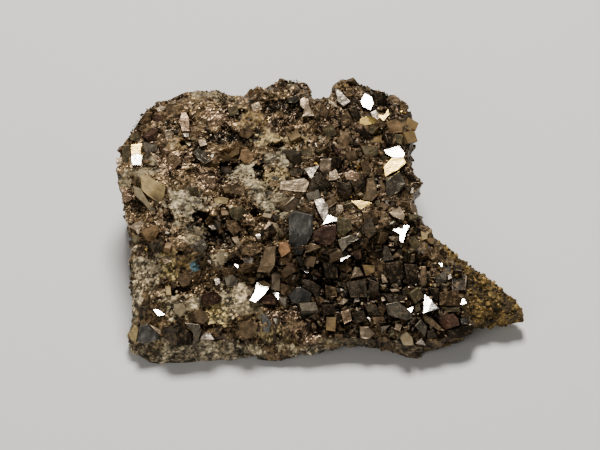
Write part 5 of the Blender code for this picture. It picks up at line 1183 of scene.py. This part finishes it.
def make_standing(finish):
    """The crystals behind the faces of the table. A face lies in a plane that stands a little proud of the
    crust and looks in its own direction, and its corners are where the sight lines of its outline meet that
    plane. Rings shrink from the outline to the middle, where the face gets growth steps and a fold, and run
    back from it along the crystal's depth while they spread. A fan closes each end."""
    draw = np.random.default_rng(STANDING_SEED)
    count = len(OUTLINES)
    facing = facings()
    names = np.array([row[0] for row in CRYSTAL_FACES])
    is_bright, is_gold = names == "bright", names == "gold"
    small_side = SPANS.min(axis=1)
    stand = np.minimum(STAND[0] * small_side + STAND[1], MOST_STAND)
    depth = np.minimum(DEPTH[0] * SPANS.sum(axis=1) + DEPTH[1], DEEPEST)
    front = np.array([on_crust(*middle) for middle in MIDDLES]) + stand[:, None] * TOWARDS
    side_shares, side_falls = np.array(SIDE_RINGS).T
    shares = np.concatenate([FACE_SHARES, side_shares])
    sunk = np.concatenate([np.zeros(len(FACE_SHARES) - 1), [EDGE_FALL], side_falls])
    on_face = np.arange(len(shares)) < len(FACE_SHARES) - 2

    places = MIDDLES[:, None, None] + shares[:, None, None] * (OUTLINES - MIDDLES[:, None])[:, None]
    rings = AIM + places[..., :1] * RIGHT + places[..., 1:] * UP - EYE
    middle = AIM + MIDDLES[:, :1] * RIGHT + MIDDLES[:, 1:] * UP - EYE
    plane = ((front - EYE) * facing).sum(axis=1)
    rings = EYE + rings * (plane[:, None, None] / np.einsum("nrac,nc->nra", rings, facing))[..., None]
    middle = EYE + middle * (plane / (middle * facing).sum(axis=1))[:, None]

    steps = layered_noise(rings, STEP_CELL, CRUST_SEED, *STEP_LAYERS)
    steps = np.round(steps * STEP_LEVELS) / STEP_LEVELS
    rise = np.where(is_bright | is_gold, BRIGHT_STEP_HEIGHT, STEP_HEIGHT)
    rings = rings + (rise[:, None, None] * steps * on_face[:, None])[..., None] * facing[:, None, None]
    rings = rings - (depth[:, None] * sunk)[..., None, None] * TOWARDS
    fold_turn = draw.uniform(0, 2 * math.pi, count)
    fold = np.stack([np.cos(fold_turn), np.sin(fold_turn)], axis=-1)
    past_fold = np.einsum("nrac,nc->nra", places - MIDDLES[:, None, None], fold)
    past_fold = np.maximum(past_fold - (FOLD_PLACE * small_side)[:, None, None], 0)
    slope = np.where(is_gold, 0, draw.uniform(*FOLD_SLOPES, count))
    slope = np.where(is_bright, BRIGHT_FOLD * (draw.random(count) < BRIGHT_FOLD_CHANCE), slope)
    rings = rings - (slope[:, None, None] * past_fold)[..., None] * facing[:, None, None]
    tail = middle - depth[:, None] * TOWARDS
    points = np.concatenate([middle[:, None], rings.reshape(count, -1, 3), tail[:, None]], axis=1)
    each = points.shape[1]
    points = points.reshape(-1, 3)

    colour, other = finish_values([FINISH_NAMES.index(name) for name in names])
    colour = np.repeat(varied(draw, colour, STANDING_SPREAD), each, axis=0)
    other = np.repeat(other, each, axis=0)
    # Painted contact shade: each crystal is darker where it meets the crust
    colour = colour * painted_contact_shade(points, np.repeat(stand + STANDING_CONTACT_SHADE, each))[:, None]
    patchy = np.repeat(np.where(is_bright | is_gold, PATCHY_BRIGHT, PATCHY_OTHERS), each)
    colour = colour * np.exp(patchy * layered_noise(points, *PATCHY_TONE))[:, None]
    inner = np.repeat(draw.uniform(0, INNER_SPREAD, (count, 3)), each, axis=0) + points
    faces = repeated_faces(tube_faces(shares.size, AROUND), each, count)
    return new_piece("standing_crystals", points, faces, finish, colour, other, inner)


def coarseness(points):
    """0 in the fine druse on the left and along the top, 1 in the coarse crust on the right and in the
    hollow."""
    right, up = seen_at(points)
    coarse = smooth((right - np.interp(up, COARSE_UP, COARSE_START)) / COARSE_BLEND)
    hollow_right, hollow_up, width, height, most = COARSE_HOLLOW
    hollow = most * np.exp(-(((right - hollow_right) / width) ** 2) - ((up - hollow_up) / height) ** 2)
    return np.maximum(coarse, hollow)


def scattered(draw, spacing, left_and_right):
    """Plan places on a grid of the spacing, each moved at random within its square."""
    x, y = np.meshgrid(np.arange(*left_and_right, spacing), np.arange(*SOWN_Y, spacing))
    return [(places + draw.uniform(0, spacing, places.shape)).ravel() for places in (x, y)]


def crust_places(draw, spacing):
    """Plan places all over the crust. Their grid is finer than the spacing, and steep ground keeps more of
    them, so that slopes are sown as densely as tops."""
    x, y = scattered(draw, spacing / math.sqrt(STEEPEST), CRUST_X)
    steepness = 1 / ground_normal(x, y)[:, 2]
    inside = (share_out(CRUST_OUTLINE, x, y) < 1) & (draw.random(len(x)) * STEEPEST < steepness)
    return x[inside], y[inside]


def behind_standing(points, clearance):
    """Whether a point is seen inside one of the crystal faces of the table, or nearer to its outline than
    that point's clearance. A point is inside where a line to its right crosses the outline an odd number of
    times."""
    right, up = seen_at(points)
    covered = np.zeros(len(points), bool)
    most = clearance.max()
    for outline in OUTLINES:
        low, high = outline.min(axis=0) - most, outline.max(axis=0) + most
        near = np.nonzero((right > low[0]) & (right < high[0]) & (up > low[1]) & (up < high[1]))[0]
        x, y = outline.T
        next_x, next_y = np.roll(x, -1), np.roll(y, -1)
        px, py = right[near, None], up[near, None]
        straddles = (y > py) != (next_y > py)
        crossing = x + (py - y) * (next_x - x) / np.where(next_y == y, 1, next_y - y)
        inside = (straddles & (px < crossing)).sum(axis=1) % 2 == 1
        covered[near] |= inside | (np.hypot(x - px, y - py).min(axis=1) < clearance[near])
    return covered


def make_small(name, finish, block, *, spacing, sizes, kept, on_stone, sink, clearance, seed):
    """Small crystals sown over the crust, each with the finish of its place or a chance one, sunk a share of
    its size into the ground. Sizes and the share that is kept go from the fine druse on the left to the
    coarse crust on the right. They are smaller and sit deeper towards the crust's edge."""
    template, faces = block
    draw = np.random.default_rng(seed)
    x, y = crust_places(draw, spacing)
    places = np.stack([x, y, ground(x, y)], axis=1)
    coarse = coarseness(places)
    inland = smooth((1 - share_out(CRUST_OUTLINE, x, y)) / EDGE_SHRINK)
    stone = patch_finish(places, seed)[1][:, 1] < STONE_METALLIC
    share_kept = blend(*kept, coarse) * np.where(stone, on_stone, 1)
    share_kept = share_kept + KEPT_AT_EDGE * (1 - inland) * (1 - coarse)
    size_share = draw.random(len(x)) ** SIZE_POWER
    smallest, largest = [blend(fine, rough, coarse) for fine, rough in zip(*sizes)]
    size = blend(smallest, largest, size_share) * blend(EDGE_SIZE, 1, inland)
    keep = (draw.random(len(x)) < share_kept) & ~behind_standing(places, clearance * size)
    keep &= places[:, 2] + size * TOP_OF_SIZE < HIGHEST
    places, coarse, size, inland = places[keep], coarse[keep], size[keep], inland[keep]
    count, each = len(places), len(template)

    patch_colour, patch_other = patch_finish(places, seed)
    numbers = [FINISH_NAMES.index(chance) for chance in CHANCE_FINISHES]
    weights = np.array(list(CHANCE_FINISHES.values()))
    chance_colour, chance_other = finish_values(draw.choice(numbers, count, p=weights / weights.sum()))
    is_stone = patch_other[:, 1:2] < STONE_METALLIC
    in_hole = patch_colour[:, :1] < HOLE_RED
    own_share = np.where(in_hole, OWN_IN_HOLES, OWN_IN_DRUSE + OWN_WHERE_COARSE * coarse[:, None])
    own = draw.random((count, 1)) < np.where(is_stone, OWN_ON_STONE, own_share)
    places = places - (HOLE_DEPTH * in_hole) * ground_normal(places[:, 0], places[:, 1])
    colour = varied(draw, np.where(own, chance_colour, patch_colour), SMALL_SPREAD)
    other = np.where(own, chance_other, patch_other)

    halves = size[:, None] * draw.uniform(*SMALL_SIDES, (count, 3)) / 2
    axes = random_axes(draw, count, SMALL_FACING)
    lift = size * (0.5 - sink - EDGE_SINK * (1 - inland))
    centres = places + ground_normal(places[:, 0], places[:, 1]) * lift[:, None]
    skew = np.tan(CRYSTAL_SKEW) * draw.uniform(-MOST_SKEW, MOST_SKEW, count)
    planes = cut_planes(draw, count, SMALL_CUT)
    uneven = draw.normal(0, SMALL_UNEVEN, (count, each, 3))
    points, inner = crystal_points(template + uneven, centres, axes, halves, skew, planes)
    colour, other = np.repeat(colour, each, axis=0), np.repeat(other, each, axis=0)
    # Painted contact shade: each crystal is darker where it meets the crust
    colour = colour * painted_contact_shade(points, np.repeat(size * CONTACT_SHADE_OF_SIZE, each))[:, None]
    return new_piece(name, points, repeated_faces(faces, each, count), finish, colour, other, inner)


def sheet_normals(sheet):
    """The upward normal of a grid of points at each point."""
    normals = np.cross(np.gradient(sheet, axis=1), np.gradient(sheet, axis=0))
    normals *= np.sign(normals[..., 2:] + 1e-9)
    return normals / np.maximum(np.linalg.norm(normals, axis=-1, keepdims=True), 1e-9)


def edge_of(values):
    """The values of a grid along its edge, in the order of the rings."""
    return np.concatenate([values[0, :-1], values[:-1, -1], values[-1, :0:-1], values[:0:-1, 0]])


def joined_rings(sheet, rings, bottom):
    """A grid of points with rings of points joined on below its edge and a fan from the last ring to the
    bottom's height at CENTRE. Returns the points, the faces and the direction out of the surface at each
    point, which on the rings is level."""
    index = np.arange(sheet[..., 0].size).reshape(sheet.shape[:2])
    points, directions = [sheet.reshape(-1, 3)], [sheet_normals(sheet).reshape(-1, 3)]
    faces = [grid_faces(index)]
    previous = edge_of(index)
    for number, ring in enumerate(rings):
        following = index.size + len(ring) * number + np.arange(len(ring))
        points.append(ring)
        directions.append(level_outward(ring))
        faces.append(np.stack([previous, following, np.roll(following, -1), np.roll(previous, -1)], axis=-1))
        previous = following
    last = np.full(len(previous) // 2, previous[-1] + 1)
    faces.append(np.stack([previous[::2], last, np.roll(previous, -2)[::2], previous[1::2]], axis=-1))
    points.append([(*CENTRE, bottom)])
    directions.append([(0, 0, -1)])
    return np.concatenate(points), np.concatenate(faces), np.concatenate(directions)


def broken_up(points, directions, layers, seed):
    """The points moved out of the surface by noises of some cell sizes and amounts, and the noises
    themselves."""
    noises = [value_noise(points, row[0], seed + number) for number, row in enumerate(layers)]
    rise = sum(row[1] * noise for row, noise in zip(layers, noises))
    return points + rise[:, None] * directions, noises


def lump_shade_and_speckle(points, noises, weights, spread, pit_cell, seed):
    """How light each place is: painted highlight on the lumps of its noises and painted shade in their
    hollows, with a grain-to-grain spread and dark pits.
    """
    light = 1 + sum(weight * noise for weight, noise in zip(weights, noises))
    pits = smooth((layered_noise(points, pit_cell, seed, *PIT_LAYERS) - PIT_START) / PIT_BLEND)
    light = light * np.exp(spread * value_noise(points, GRAIN_TONE_CELL, seed + 9)) * (1 - PIT_DEPTH * pits)
    return np.clip(light, *SPECKLE_RANGE)


def make_ground(finish):
    """The ground of the crust as a fine sheet: the relief, with lumps and sugary grains, painted highlight on
    the lumps and painted shade in their hollows, and more painted shade over the coarse crust. Its rows crowd
    on the steep ledge, its edge is turned down as a skirt, and it sinks under the darkest patches, whose
    colour is painted shade in those holes."""
    share, bearing = disc_grid(GROUND_STEPS)
    x, y = plan_place(share * reach(CRUST_OUTLINE, bearing), bearing)
    past_ledge = (y - np.interp(x, LEDGE_X, LEDGE_Y)) / LEDGE_PULL_WIDTH
    y = y - LEDGE_PULL * LEDGE_PULL_WIDTH * np.tanh(past_ledge) * (1 - share**2)
    sheet = np.stack([x, y, ground(x, y)], axis=-1)
    rings = []
    for depth in np.linspace(0, SKIRT_DEEP, SKIRT_ROWS + 1)[1:]:
        ring = edge_of(sheet)
        ring[:, :2] += (CENTRE - ring[:, :2]) * SKIRT_INSET * depth
        ring[:, 2] = np.maximum(ring[:, 2] - depth, SKIRT_LOWEST)
        rings.append(ring)
    points, faces, directions = joined_rings(sheet, rings, SKIRT_BOTTOM)
    points = roughened(points, ROUGH_CRUST, CRUST_SEED)
    points, noises = broken_up(points, directions, GROUND_NOISE, GROUND_NOISE_SEED)
    points[:, 2] = np.minimum(points[:, 2], HIGHEST)
    colour, other = patch_finish(points, GROUND_PATCH_SEED)
    # The darkest patches are painted shade: the ground is sunk under them into holes
    hollow_shade = FINISHES["hollow_shade"][0]
    pitted = smooth(1 - np.abs(colour - hollow_shade).sum(axis=1) / HOLE_TONE)
    pitted[share.size:] = 0
    points = points - (HOLE_DEPTH * pitted)[:, None] * directions
    # Painted highlight on lumps and painted shade in hollows, and painted shade over the coarse crust
    light = lump_shade_and_speckle(points, noises, **GROUND_SHADE_AND_SPECKLE) * (1 - COARSE_PAINTED_SHADE * coarseness(points))
    return new_piece("crust_ground", points, faces, finish, colour * light[:, None], other, points)


def onset(place, wander, start, sway, width):
    """0 before the start and 1 a width past it, where the start sways with a wandering noise."""
    return smooth((place - start + sway * wander) / width)[:, None]


def rock_colours(points):
    """Colour of the rock: pale beige at the front rim, yellow-brown gossan on the tail, grey-brown
    elsewhere."""
    x, y, _ = points.T
    wander = layered_noise(points, *WANDER_NOISE)
    tail = onset(x, wander, *OCHRE_TAIL)
    front = onset(-y, wander, *PALE_FRONT) * onset(-x, wander, *PALE_LEFT)
    darkened = smooth(layered_noise(points, *DARK_NOISE) * DARK_GAIN)[:, None]
    veins = onset(layered_noise(points, *VEIN_NOISE), 0, *VEINS)
    colour = blend(PLAIN_TONE, DARK_TONE, darkened)
    colour = blend(colour, PALE_TONE, front * PALE_COVER)
    colour = blend(colour, OCHRE_TONE, tail)
    return blend(colour, OCHRE_TONE * VEIN_LIGHT, veins * VEIN_COVER)


def make_rock(finish):
    """The host rock: a fine grid over its plan, then rings down its side and in under it to the flat foot,
    all roughened as the solid is and then broken up by finer noise away from the foot."""
    share, bearing = disc_grid(ROCK_STEPS)
    x, y = plan_place(share**ROCK_CROWDING * reach(ROCK_OUTLINE, bearing), bearing)
    sheet = np.stack([x, y, rock_top(x, y)], axis=-1)
    turn, top = edge_of(bearing), edge_of(sheet)[:, 2]
    edge, under = reach(ROCK_OUTLINE, turn), underside(turn)
    rings = []
    for fall in np.linspace(0, 1, ROCK_SIDE_ROWS + 1)[1:]:
        rings.append(ring_points(side_radius(turn, fall), turn, blend(top, under, fall)))
    foot = 1 - FOOT_INSET - FOOT_INSET_PER_MM * under
    for inward in UNDERCUT_SHARES:
        rings.append(ring_points(edge * blend(1, foot, inward), turn, under * (1 - inward)))
    for inward in FOOT_SHARES:
        rings.append(ring_points(edge * foot * inward, turn, np.zeros(len(turn))))
    points, faces, directions = joined_rings(sheet, rings, 0.0)
    on_foot = points[:, 2] <= 0
    moved = roughened(points, ROUGH_ROCK, ROCK_SEED)
    moved, noises = broken_up(moved, directions, ROCK_NOISE, ROCK_NOISE_SEED)
    moved[on_foot] = points[on_foot]
    moved[~on_foot, 2] = np.maximum(moved[~on_foot, 2], ROCK_LOWEST)
    # Painted highlight on the rock's lumps and painted shade in its hollows, with its speckle
    colour = rock_colours(moved) * lump_shade_and_speckle(moved, noises, **ROCK_SHADE_AND_SPECKLE)[:, None]
    return new_piece("host_rock_surface", moved, faces, finish, colour)


def make_rock_grains(finish, block):
    """Grains on the bare rock, sown on its top outside the crust and round its side, in the tone of their
    place, with painted shade on the side that faces the rock. Most of the side's are kept at the tail and the
    front."""
    template, faces = block
    draw = np.random.default_rng(ROCK_GRAIN_SEED)
    x, y = scattered(draw, ROCK_GRAIN_SPACING, ROCK_X)
    bare = (share_out(ROCK_OUTLINE, x, y) < 1) & (share_out(CRUST_OUTLINE, x, y) > ROCK_GRAIN_OVERLAP)
    x, y = x[bare], y[bare]
    top_places = np.stack([x, y, rock_top(x, y)], axis=1)

    turn = draw.uniform(-math.pi, math.pi, ROCK_SIDE_GRAINS)
    fall = draw.uniform(0, 1, ROCK_SIDE_GRAINS)
    radius, under = reach(ROCK_OUTLINE, turn), underside(turn)
    edge = ring_points(radius, turn, np.zeros(len(turn)))
    top = rock_top(edge[:, 0], edge[:, 1])
    side_places = ring_points(side_radius(turn, fall), turn, blend(top, under, fall))
    gritty = onset(edge[:, 0], 0, *GRITTY_TAIL) + onset(-edge[:, 1], 0, *GRITTY_FRONT)
    share_kept = (top - under) * radius / MOST_SIDE * np.clip(gritty[:, 0], SMOOTH_SIDE, 1)
    kept = draw.random(len(turn)) < share_kept
    places = np.concatenate([top_places, side_places[kept]])
    upward = np.tile((0.0, 0.0, 1.0), (len(top_places), 1))
    directions = np.concatenate([upward, level_outward(edge)[kept]])
    moved = roughened(places, ROUGH_ROCK, ROCK_SEED)
    moved, _ = broken_up(moved, directions, ROCK_NOISE, ROCK_NOISE_SEED)
    size = blend(*ROCK_GRAIN_SIZES, draw.random(len(moved)) ** 2)
    clear = moved[:, 2] > size
    moved, size, directions = moved[clear], size[clear], directions[clear]
    count, each = len(moved), len(template)

    halves = size[:, None] * draw.uniform(*ROCK_GRAIN_SIDES, (count, 3)) / 2
    colour = varied(draw, rock_colours(moved), ROCK_GRAIN_SPREAD)
    uneven = draw.normal(0, ROCK_GRAIN_UNEVEN, (count, each, 3))
    axes = random_axes(draw, count, ROCK_GRAIN_FACING)
    planes = cut_planes(draw, count, ROCK_GRAIN_CUT)
    points, _ = crystal_points(template + uneven, moved, axes, halves, np.zeros(count), planes)
    centres, outward = np.repeat(moved, each, axis=0), np.repeat(directions, each, axis=0)
    above = ((points - centres) * outward).sum(axis=1) / np.repeat(size, each)
    # Painted shade: each grain is darker on its side towards the rock
    shade = blend(ROCK_GRAIN_SHADE, 1, smooth(above * 2 + 0.5))
    colour = np.repeat(colour, each, axis=0) * shade[:, None]
    return new_piece("rock_grains", points, repeated_faces(faces, each, count), finish, colour)


def make_floor():
    """A level square under the specimen."""
    corners = [(-FLOOR_HALF, -FLOOR_HALF, 0), (FLOOR_HALF, -FLOOR_HALF, 0)]
    corners += [(FLOOR_HALF, FLOOR_HALF, 0), (-FLOOR_HALF, FLOOR_HALF, 0)]
    new_piece("floor", corners, [[0, 1, 2, 3]], floor_finish())


def add_camera():
    camera = bpy.data.objects.new("camera", bpy.data.cameras.new("camera"))
    bpy.context.scene.collection.objects.link(camera)
    camera.data.sensor_width = SENSOR_WIDTH
    camera.data.lens = SENSOR_WIDTH * EYE_DISTANCE / FRAME_WIDTH
    camera.data.clip_end = CLIP_END
    turned = Matrix((RIGHT, UP, TOWARDS)).transposed().to_4x4()
    camera.matrix_world = Matrix.Translation(Vector((EYE - ORIGIN) * MM)) @ turned
    bpy.context.scene.camera = camera


def add_light(name, *, azimuth, elevation, distance, size, power, colour):
    """A square soft light that shines at the specimen from a bearing (0 in front, 90 from the right) and a
    height."""
    lamp = bpy.data.lights.new(name, "AREA")
    lamp.size = size
    lamp.energy = power
    lamp.color = colour
    light = bpy.data.objects.new(name, lamp)
    bpy.context.scene.collection.objects.link(light)
    turn, rise = math.radians(azimuth), math.radians(elevation)
    direction = Vector((math.sin(turn) * math.cos(rise), -math.cos(turn) * math.cos(rise), math.sin(rise)))
    light.location = direction * distance + Vector((0, 0, LIGHT_AIM))
    light.rotation_euler = direction.to_track_quat("Z", "Y").to_euler()


def add_world(strength):
    world = bpy.data.worlds.new("studio")
    world.use_nodes = True
    background = world.node_tree.nodes["Background"].inputs
    background["Color"].default_value = (1, 1, 1, 1)
    background["Strength"].default_value = strength
    bpy.context.scene.world = world


crystal_look = crystal_finish("tarnished_crystal")
grain_look = crystal_finish("druse_grain", inner=False)
rock_look = rock_finish("broken_rock")
wedge = wedge_block()

rock = make_rock(rock_look)
crust = make_ground(grain_look)
standing = make_standing(crystal_look)
blocks = make_small(
    "small_blocks", crystal_look, block_grid(BLOCK_KNOTS), spacing=2.3, sizes=((1.0, 2.4), (2.0, 4.8)),
    kept=(0.1, 0.9), on_stone=KEPT_ON_STONE, sink=0.62, clearance=0.36, seed=17
)
wedges = make_small(
    "small_wedges", crystal_look, wedge, spacing=1.75, sizes=((0.7, 2.0), (1.5, 4.0)),
    kept=(0.2, 0.85), on_stone=KEPT_ON_STONE, sink=0.56, clearance=0.36, seed=19
)
grains = make_small(
    "druse_grains", grain_look, wedge, spacing=0.62, sizes=((0.32, 0.75), (0.6, 1.6)),
    kept=(0.62, 0.5), on_stone=GRAINS_ON_STONE, sink=0.45, clearance=0.2, seed=23
)
rock_grains = make_rock_grains(rock_look, wedge)
for piece in (rock, rock_grains, crust, standing, blocks, wedges, grains):
    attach(piece, "root")
for piece in (rock, rock_grains):
    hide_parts("host_rock")
for piece in (crust, standing, blocks, wedges, grains):
    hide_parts("arsenopyrite_crust")

make_floor()
add_camera()
add_light("key", azimuth=180, elevation=65, distance=0.8, size=0.24, power=10.4, colour=(1.0, 0.96, 0.9))
add_light("fill", azimuth=-30, elevation=40, distance=1.0, size=0.6, power=2.4, colour=(1.0, 0.97, 0.93))
add_world(0.1)
